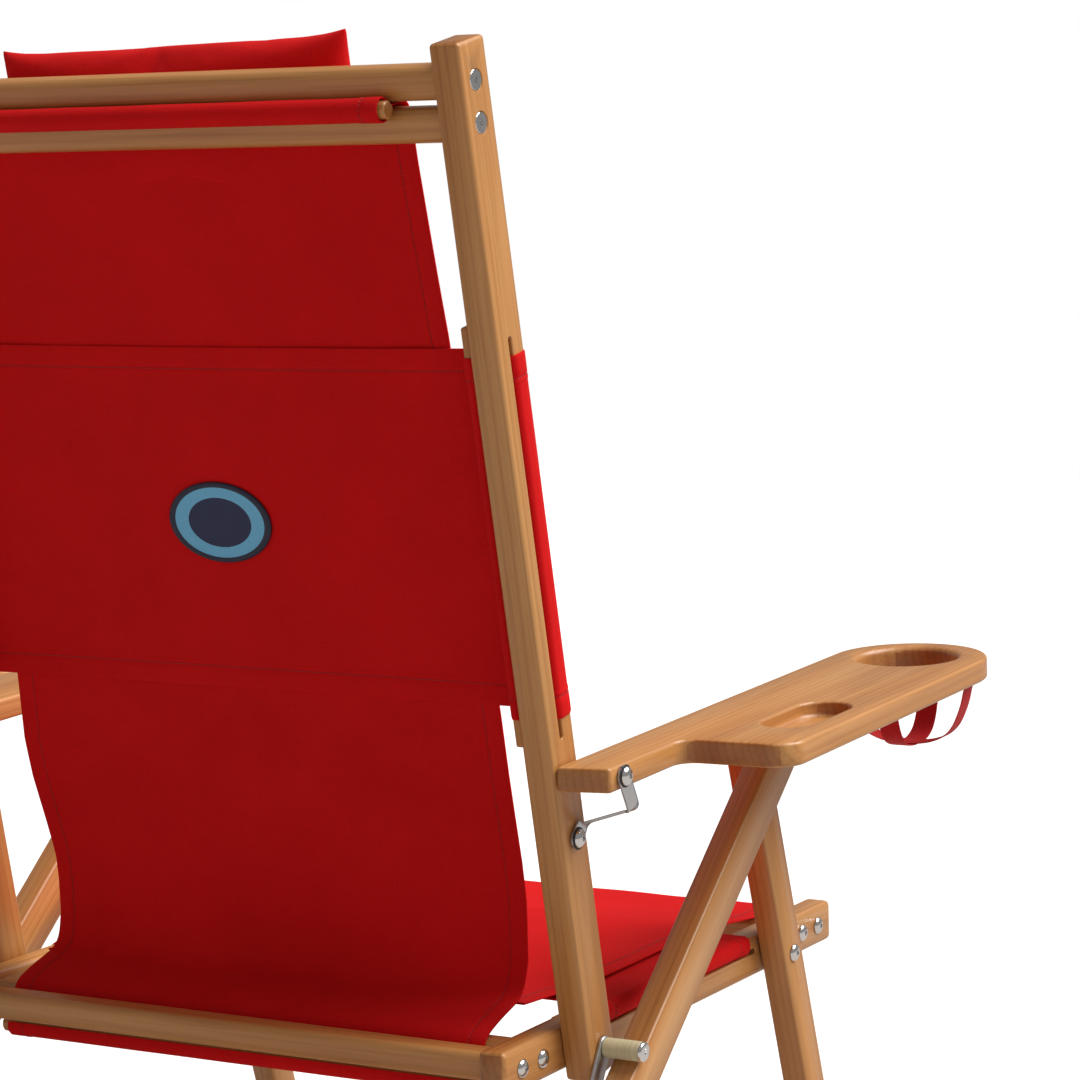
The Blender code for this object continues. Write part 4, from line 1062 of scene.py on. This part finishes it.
# ---- badge --------------------------------------------------------------------------
def make_badge():
    """Oval badge with a raised, overlocked edge, sewn on the band's rear face."""
    centre = Vector((0.0, -BACK_DEPTH / 2 + 0.0006, (BAND_LOW + BAND_HIGH) / 2 - 0.0020))
    rings = [(0.0, 0.0005), (0.25, 0.00055), (0.45, 0.0005), (0.60, 0.00045), (0.64, 0.0007), (0.75, 0.0007),
             (0.86, 0.00065), (0.89, 0.0011), (0.95, 0.0014), (1.0, 0.0009), (1.01, 0.0),
              (0.98, -0.0003), (0.0, -0.0003)]
    steps = 96
    vertices, coords, faces = [], [], []
    for radius, lift in rings:
        for k in range(steps if radius else 1):
            angle = 2 * math.pi * k / steps
            u, v = radius * math.cos(angle), radius * math.sin(angle)
            wobble = 0.0001 * math.sin(48 * angle) if radius > 0.9 else 0.0
            vertices.append(centre + Vector((u * 0.0505, lift + wobble, v * 0.0345)))
            coords.append((u, v, 0.0))
    starts, count = [], 0
    for radius, lift in rings:
        starts.append((count, bool(radius)))
        count += steps if radius else 1
    for (a, a_ring), (b, b_ring) in zip(starts, starts[1:]):
        for k in range(steps):
            m = (k + 1) % steps
            if not a_ring:
                faces.append((a, b + k, b + m))
            elif not b_ring:
                faces.append((a + k, b, a + m))
            else:
                faces.append((a + k, b + k, b + m, a + m))
    mesh = bpy.data.meshes.new("badge")
    mesh.from_pydata([tuple(v) for v in vertices], [], faces)
    work = bmesh.new()
    work.from_mesh(mesh)
    bmesh.ops.recalc_face_normals(work, faces=work.faces)
    work.to_mesh(mesh)
    work.free()
    attribute = mesh.attributes.new("cloth", "FLOAT_VECTOR", "POINT")
    attribute.data.foreach_set("vector", np.asarray(coords, np.float32).ravel())
    mesh.shade_smooth()
    badge = new_object("sewn_badge", mesh, BACK)
    dress(badge, BADGE, "back", "back_patch", slot="badge")


# ---- pillow -------------------------------------------------------------------------
PILLOW_HALF = (0.1715, 0.0750)
PILLOW_MIDDLE = (-0.0070, -0.0440, 0.7545)
PILLOW_ROLL = math.radians(1.1)
PILLOW_DEPTH = 0.0235


def pillow_mesh():
    """Two panels sewn round their edge, plump in the middle and thin at the corners."""
    columns, rows = 72, 34
    vertices, faces = [], []
    index = {}
    for layer in (1, -1):
        for i in range(rows + 1):
            for j in range(columns + 1):
                edge = i in (0, rows) or j in (0, columns)
                key = (i, j) if edge else (i, j, layer)
                if key in index:
                    continue
                u, v = 2 * j / columns - 1, 2 * i / rows - 1
                swell = (max(0.0, 1 - abs(u) ** 5) ** 0.5) * (max(0.0, 1 - abs(v) ** 2.6) ** 0.55)
                pinch = 1 - 0.045 * (1 - abs(u) ** 10) * abs(v) ** 4
                draw = 1 - 0.030 * (1 - abs(v) ** 2) * abs(u) ** 4
                index[key] = len(vertices)
                vertices.append((PILLOW_HALF[0] * u * draw, layer * PILLOW_DEPTH * swell * 0.98,
                                 PILLOW_HALF[1] * v * pinch))
    for layer in (1, -1):
        for i in range(rows):
            for j in range(columns):
                quad = []
                for a, b in ((i, j), (i, j + 1), (i + 1, j + 1), (i + 1, j)):
                    edge = a in (0, rows) or b in (0, columns)
                    quad.append(index[(a, b) if edge else (a, b, layer)])
                faces.append(tuple(quad if layer < 0 else quad[::-1]))
    mesh = bpy.data.meshes.new("pillow")
    mesh.from_pydata(vertices, [], faces)
    return mesh


def inflate(obj, pressure, cap, last_frame=20):
    """Short cloth simulation under inner pressure, applied, with the movement of each point capped."""
    scene = bpy.context.scene
    before = np.zeros(len(obj.data.vertices) * 3)
    obj.data.vertices.foreach_get("co", before)
    cloth = obj.modifiers.new("cloth", "CLOTH")
    cloth.settings.quality = 6
    cloth.settings.mass = 0.25
    cloth.settings.tension_stiffness = 22
    cloth.settings.compression_stiffness = 22
    cloth.settings.shear_stiffness = 8
    cloth.settings.bending_stiffness = 0.6
    cloth.settings.use_pressure = True
    cloth.settings.uniform_pressure_force = pressure
    cloth.settings.effector_weights.gravity = 0.0
    cloth.point_cache.frame_start = 1
    cloth.point_cache.frame_end = last_frame
    for number in range(1, last_frame + 1):
        scene.frame_set(number)
    settle(obj)
    scene.frame_set(1)
    after = np.zeros_like(before)
    obj.data.vertices.foreach_get("co", after)
    move = (after - before).reshape(-1, 3) * (0.3, 1.0, 0.3)
    size = np.linalg.norm(move, axis=1, keepdims=True)
    move *= np.minimum(1.0, cap / np.maximum(size, 1e-9))
    obj.data.vertices.foreach_set("co", (before.reshape(-1, 3) + move).ravel())
    obj.data.update()


def make_pillow():
    pillow = new_object("head_pillow", pillow_mesh())
    inflate(pillow, 2.4, 0.008)
    mesh = pillow.data
    points = np.zeros(len(mesh.vertices) * 3)
    mesh.vertices.foreach_get("co", points)
    points = points.reshape(-1, 3)
    attribute = mesh.attributes.new("cloth", "FLOAT_VECTOR", "POINT")
    flat = np.stack([points[:, 0], points[:, 2], np.zeros(len(points))], axis=1)
    attribute.data.foreach_set("vector", flat.astype(np.float32).ravel())
    mesh.transform(Matrix.Translation(PILLOW_MIDDLE) @ Matrix.Rotation(PILLOW_ROLL, 4, "Y"))
    mesh.shade_smooth()
    subdivide = pillow.modifiers.new("smooth", "SUBSURF")
    subdivide.levels = 1
    subdivide.render_levels = 1
    settle(pillow)
    pillow.matrix_world = BACK
    dress(pillow, CANVAS, "back", "headrest_pillow", slot="red_canvas")


# ---- cup straps ---------------------------------------------------------------------
def make_cup_straps():
    under = ARM_RISE - ARM_THICK - GAP - 0.0008
    half = 0.0100
    shapes = (("long", ((0.0560, 0.0), (0.0500, 0.0), (0.0470, 0.0200), (0.0360, 0.0480), (0.0180, 0.0580))),
              ("cross", ((0.0660, 0.0), (0.0600, 0.0), (0.0560, 0.0200), (0.0440, 0.0460), (0.0200, 0.0566))))
    for side_name, side in SIDES:
        middle = (side * (OUTER_HALF + ARM_GAP + CUP_ASIDE), ARM_BACK - CUP_AHEAD)
        for label, shape in shapes:
            run = [(-u, under - drop) for u, drop in shape] + [(u, under - drop) for u, drop in shape[::-1]]
            path, at = resample([(0.0, u, v) for u, v in round_corners(run, 0.0150, 6)], 0.0025)
            grid, halves, coords = [], [], []
            columns = np.linspace(-half, half, 11)
            for place, s in zip(path, at):
                row = []
                for c in columns:
                    if label == "long":
                        row.append((middle[0] + c, middle[1] + place.y, place.z))
                    else:
                        row.append((middle[0] + place.y, middle[1] + c, place.z))
                grid.append(row)
                halves.append([0.0006 if abs(c) < half * 0.95 else 0.0003 for c in columns])
                coords.append([(c, s, 0.0) for c in columns])
            name = "cup_strap_%s_%s" % (label, side_name)
            mesh, _ = thick_sheet(name, grid, halves, coords)
            strap = new_object(name, mesh, ARM)
            dress(strap, WEBBING, "arm_" + side_name, slot="red_canvas")
            if label == "long":
                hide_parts("cup_straps_" + side_name)


# ---- steel --------------------------------------------------------------------------
def socket_head(name, profile, socket, depth, top):
    """Turned bolt head with a hexagon socket. profile is (x, radius) from the tip inwards."""
    head = new_object(name, turned_mesh(name, profile, 40))
    hexagon = arc((0.0, 0.0), socket / math.cos(math.pi / 6), 0, 300, 5)
    axes = side_axes(top - depth / 2 + 0.002)
    carve(head, prism_mesh("socket", hexagon, depth + 0.004, axes))
    mesh = head.data
    bpy.data.objects.remove(head, do_unlink=True)
    mesh.shade_smooth()
    mesh.set_sharp_from_angle(angle=math.radians(38))
    return mesh


def dome_profile(head, length):
    """Outline of a domed head of a radius and height, with a shank of a length."""
    radius, height = head
    points = [(height, 0.0)]
    for k in range(1, 8):
        angle = math.radians(90 - 90 * k / 8)
        points.append((height * math.sin(angle) ** 0.9, radius * math.cos(angle)))
    points += [(0.0004, radius), (0.0, radius - 0.0004), (0.0, SHANK), (-length, SHANK), (-length, 0.0)]
    return points


def dome_bolt(name, head, length):
    return socket_head(name, dome_profile(head, length), *DOME_SOCKET, head[1])


def place_bolt(name, mesh, matrix, place, direction, body, material, *nodes):
    """A bolt with its head pointing along +X or -X, at a place in a member's frame."""
    turn = Matrix.Identity(4) if direction > 0 else Matrix.Rotation(math.pi, 4, "Z")
    obj = new_object(name, mesh.copy(), matrix @ Matrix.Translation(place) @ turn)
    return dress(obj, material, body, *nodes, slot="zinc_steel")


def nut_mesh(across, thick):
    """Hexagon nut along X with a chamfered face."""
    hexagon = arc((0.0, 0.0), across / 2 / math.cos(math.pi / 6), 0, 300, 5)
    nut = new_object("nut", prism_mesh("nut", hexagon, thick, side_axes(0.0)))
    nut.data.shade_smooth()
    bevel(nut, 0.0006, 2, 30.0)
    settle(nut)
    mesh = nut.data
    bpy.data.objects.remove(nut, do_unlink=True)
    return mesh


def washer_mesh(outer, inner, thick):
    profile = [(thick, inner), (thick, outer - 0.0003), (thick - 0.0003, outer), (0.0002, outer),
               (0.0, outer - 0.0002), (0.0, inner), (thick, inner)]
    return turned_mesh("washer", profile, 36)


def make_bolts(places):
    dome = dome_bolt("dome", HEAD, 0.0120)
    long_dome = dome_bolt("long_dome", HEAD, 0.0520)
    cap = [(-0.0002, 0.0), (-0.0002, 0.0078), (-0.0006, 0.0082), (-0.0027, 0.0082), (-0.0027, SHANK),
           (-0.0300, SHANK), (-0.0300, 0.0)]
    flat = socket_head("flat", cap, 0.0024, 0.0020, -0.0002)
    nut = nut_mesh(0.0130, 0.0048)
    thin = washer_mesh(0.0090, 0.0034, WASHER - 0.0004)
    for side_name, side in SIDES:
        def put(label, mesh, member, place, body, material, *nodes, way=side):
            place_bolt("%s_%s" % (label, side_name), mesh, member, (side * place[0], *place[1:]), way, body,
                       material, *nodes)

        for label, height in (("upper", TOP_BAR), ("lower", TOP_BAR - TOP_BAR_PITCH)):
            put("cap_" + label, flat, BACK, (OUTER_HALF, 0.0, height), "back", BRIGHT,
                "cap_bolt_%s_%s" % (label, side_name))
        for label, place in places.items():
            put("rail_bolt_" + label, dome, SEAT, (RAIL_OUTER + 0.0001, place, 0.0), "seat", BRIGHT)
        put("leg_bolt", long_dome, SEAT, (OUTER_HALF + GAP, -FRONT_PIVOT, 0.0), "seat", BRIGHT,
            "front_leg_bolt_" + side_name)
        put("leg_nut", nut, SEAT, (RAIL_INNER - 0.0028, -FRONT_PIVOT, 0.0), "seat", STEEL)
        put("leg_washer", thin, SEAT, (RAIL_OUTER + 0.0002, -FRONT_PIVOT, 0.0), "seat", STEEL)
        put("back_washer", thin, SEAT, (RAIL_OUTER + 0.0002, 0.0, 0.0), "seat", STEEL)
        put("leg_top_bolt_head", dome_bolt("top", HEAD, 0.0320), FRONT_LEGS,
            (INNER_HALF - GAP, 0.0, FRONT_UPPER), "front_legs", BRIGHT, "leg_top_bolt_" + side_name, way=-side)
        put("rear_leg_dome", dome, REAR_LEGS, (REAR_OUTER + GAP, -GUIDE_OFFSET, REAR_TOP), "rear_legs",
            BRIGHT, "rear_leg_cap_" + side_name)


def make_guides():
    """Flat steel strap with rounded ends, sleeved peg above and plain peg below the rear leg."""
    start = OUTER_HALF + 0.0005 + STRAP_THICK + GAP
    tip = start + PEG_LENGTH + GAP
    for side_name, side in SIDES:
        body = "guide_" + side_name
        middle = side * (OUTER_HALF + 0.0005 + STRAP_THICK / 2)
        outline = stadium((0.0, -GUIDE_SPAN), (0.0, 0.0), STRAP_HALF, 20)
        plate = prism_mesh("guide", outline, STRAP_THICK, side_axes(middle))
        strap = new_object("steel_guide_" + side_name, plate, GUIDE)
        strap.data.shade_smooth()
        bevel(strap, 0.0006, 2)
        settle(strap)
        smooth(strap)
        dress(strap, STEEL, body, "guide_strap_" + side_name, slot="zinc_steel")
        profile = [(start, 0.0034), (start, PEG_RADIUS - 0.0005), (start + 0.0005, PEG_RADIUS),
                   (tip - GAP - 0.0006, PEG_RADIUS), (tip - GAP, PEG_RADIUS - 0.0006), (tip - GAP, 0.0034)]
        sleeve = turned_mesh("sleeve", [(side * x, r) for x, r in profile], 48)
        obj = new_object("nylon_sleeve_" + side_name, sleeve, GUIDE)
        smooth(obj)
        dress(obj, NYLON, body, "peg_sleeve_" + side_name, slot="pale_nylon")
        cap = [(0.0030, 0.0), (0.0030, 0.0066), (0.0022, 0.0080), (0.0016, PEG_RADIUS), (0.0002, PEG_RADIUS),
               (0.0, 0.0078), (0.0, SHANK), (-0.0880, SHANK), (-0.0880, 0.0)]
        place_bolt("peg_cap_" + side_name, socket_head("peg", cap, 0.0022, 0.0022, 0.0030), GUIDE,
                   (side * tip, 0.0, 0.0), side, body, BRIGHT, "peg_bolt_" + side_name)
        place_bolt("peg_nut_" + side_name, nut_mesh(0.0125, 0.0048), GUIDE,
                   (side * (RAIL_INNER - 0.0030), 0.0, 0.0), side, body, STEEL)
        lower = [(0.0028, 0.0), (0.0028, 0.0066), (0.0018, PEG_RADIUS), (start - tip + 0.0004, PEG_RADIUS),
                 (start - tip, PEG_RADIUS - 0.0004), (start - tip, 0.0)]
        place_bolt("lower_peg_look_" + side_name, socket_head("lower", lower, 0.0022, 0.0022, 0.0028), GUIDE,
                   (side * tip, 0.0, -GUIDE_SPAN), side, body, NYLON, "lower_peg_" + side_name)


def strip_mesh(name, centres, widths, normals, half, thick):
    """Bent flat strip with rounded ends. widths and normals are directions at each centre."""
    count = len(centres)
    lengths = [0.0]
    for a, b in zip(centres, centres[1:]):
        lengths.append(lengths[-1] + (b - a).length)
    work = bmesh.new()
    rings = []
    for i in range(count):
        to_end = min(lengths[i], lengths[-1] - lengths[i])
        wide = half
        if to_end < half:
            wide = math.sqrt(max(half * half - (half - to_end) ** 2, (0.12 * half) ** 2))
        ring = []
        edge = min(0.0005, wide * 0.5)
        for u, v in ((1, -1), (1, 1), (-1, 1), (-1, -1)):
            for du, dv in ((0.0, edge), (edge, 0.0)) if u * v < 0 else ((edge, 0.0), (0.0, edge)):
                corner = centres[i] + widths[i] * u * (wide - du) + normals[i] * v * (thick / 2 - dv)
                ring.append(work.verts.new(corner))
        rings.append(ring)
    for first, second in zip(rings, rings[1:]):
        for k in range(8):
            m = (k + 1) % 8
            work.faces.new((first[k], first[m], second[m], second[k]))
    work.faces.new(rings[0][::-1])
    work.faces.new(rings[-1])
    return bmesh_to(name, work)


def make_links():
    """Z-shaped steel link: a tab on the upright, a slanted tie, a tab on the arm's neck."""
    thick, half = 0.0024, 0.0085
    near = OUTER_HALF + 0.0006 + thick / 2
    far = OUTER_HALF + ARM_GAP + NECK_WIDTH + 0.0006 + thick / 2
    dome = dome_bolt("link_dome", LINK_HEAD, 0.0140)
    short = dome_bolt("short_dome", LINK_HEAD, 0.0004)
    ring = washer_mesh(0.0092, 0.0033, 0.0010)
    high = Vector((0.0, *LINK_RISE))
    knee_low = Vector((0.0, -0.0095, 0.0105))
    knee_high = high + Vector((0.0, -0.0170, -0.0285))
    for side_name, side in SIDES:
        body = "link_" + side_name
        start = -knee_low.normalized() * half
        finish = high + (high - knee_high).normalized() * half
        corners = [Vector((side * near, start.y, start.z)), Vector((side * near, knee_low.y, knee_low.z)),
                   Vector((side * far, knee_high.y, knee_high.z)), Vector((side * far, finish.y, finish.z))]
        path = round_corners([tuple(c) for c in corners], 0.0050, 8)
        centres = resample(path, 0.0007)[0]
        widths, normals = [], []
        for i in range(len(centres)):
            way = (centres[min(i + 1, len(centres) - 1)] - centres[max(i - 1, 0)]).normalized()
            part = abs(way.x)
            flat = Vector((0.0, way.z, -way.y)) if part < 0.999 else Vector((0.0, 1.0, 0.0))
            flat = flat.normalized() * (1 - part) + Vector((0.0, 1.0, 0.0)) * part
            flat = (flat - way * flat.dot(way)).normalized()
            widths.append(flat)
            normals.append(way.cross(flat).normalized())
        strip = strip_mesh("link", centres, widths, normals, half, thick)
        link = new_object("steel_link_" + side_name, strip, LINK)
        smooth(link, 50)
        dress(link, STEEL, body, "link_" + side_name, slot="zinc_steel")
        ends = (("lower", near, dome, (0.0, 0.0), "back"), ("upper", far, short, tuple(high.yz), body))
        for label, plane, bolt, place, rides in ends:
            face = plane + thick / 2
            place_bolt("link_dome_%s_%s" % (label, side_name), bolt, LINK, (side * (face + 0.0012), *place),
                       side, rides, BRIGHT, "link_bolt_%s_%s" % (label, side_name))
            place_bolt("link_ring_%s_%s" % (label, side_name), ring, LINK, (side * (face + 0.0001), *place),
                       side, rides, DARK)


def make_brackets():
    """Steel angle under each arm, hung on the leg-top bolt."""
    for side_name, _ in SIDES:
        node = frame["nodes"]["arm_bracket_" + side_name]
        mesh = node.data.copy()
        bracket = new_object("steel_bracket_" + side_name, mesh)
        bevel(bracket, 0.0004, 2, 50.0)
        bracket.data.shade_smooth()
        settle(bracket)
        smooth(bracket)
        dress(bracket, STEEL, "arm_" + side_name, "arm_bracket_" + side_name, slot="zinc_steel")


# ---- stage --------------------------------------------------------------------------
CAMERA_AT = Vector((-1.6980, 2.5735, 0.9548))
CAMERA_YAW = math.radians(30.04)
CAMERA_PITCH = math.radians(4.05)
SENSOR = 36.0
LENS = 118.63


def make_stage():
    mesh = box_mesh("floor", (-14.0, -14.0, -0.02), (14.0, 14.0, 0.0))
    floor = new_object("floor", mesh)
    floor.data.materials.append(floor_material())
    camera = bpy.data.cameras.new("camera")
    camera.sensor_width = SENSOR
    camera.lens = LENS
    camera.clip_end = 100.0
    eye = bpy.data.objects.new("camera", camera)
    bpy.context.scene.collection.objects.link(eye)
    level = math.cos(CAMERA_PITCH)
    forward = Vector((math.sin(CAMERA_YAW) * level, -math.cos(CAMERA_YAW) * level, -math.sin(CAMERA_PITCH)))
    eye.location = CAMERA_AT
    eye.rotation_euler = forward.to_track_quat("-Z", "Y").to_euler()
    bpy.context.scene.camera = eye


def make_light():
    """One broad soft light from the front and the sitter's right, in a pale room."""
    light = bpy.data.lights.new("key", "SUN")
    light.energy = 4.3
    light.angle = math.radians(50)
    light.color = (1.0, 0.985, 0.965)
    key = bpy.data.objects.new("key", light)
    key.rotation_euler = Vector((0.52, 0.28, -0.80)).to_track_quat("-Z", "Y").to_euler()
    bpy.context.scene.collection.objects.link(key)
    world = bpy.data.worlds.new("studio")
    bpy.context.scene.world = world
    n = Nodes("studio", world)
    background = n.tree.nodes["Background"]
    ray = n.add("ShaderNodeLightPath").outputs["Is Camera Ray"]
    n.feed(background.inputs["Color"], n.mix(ray, (0.27, 0.26, 0.25), (1.0, 1.0, 1.0)))
    background.inputs["Strength"].default_value = 1.0
    bpy.context.scene.view_settings.view_transform = "Standard"


# ---- build --------------------------------------------------------------------------
make_stage()
make_light()
make_uprights()
BARS = make_bars()
make_rails()
make_legs()
make_rods(BARS)
make_arms()
make_battens()
make_sling(BARS)
make_seat(BARS)
make_bands()
make_badge()
make_pillow()
make_cup_straps()
make_bolts(BARS)
make_guides()
make_links()
make_brackets()
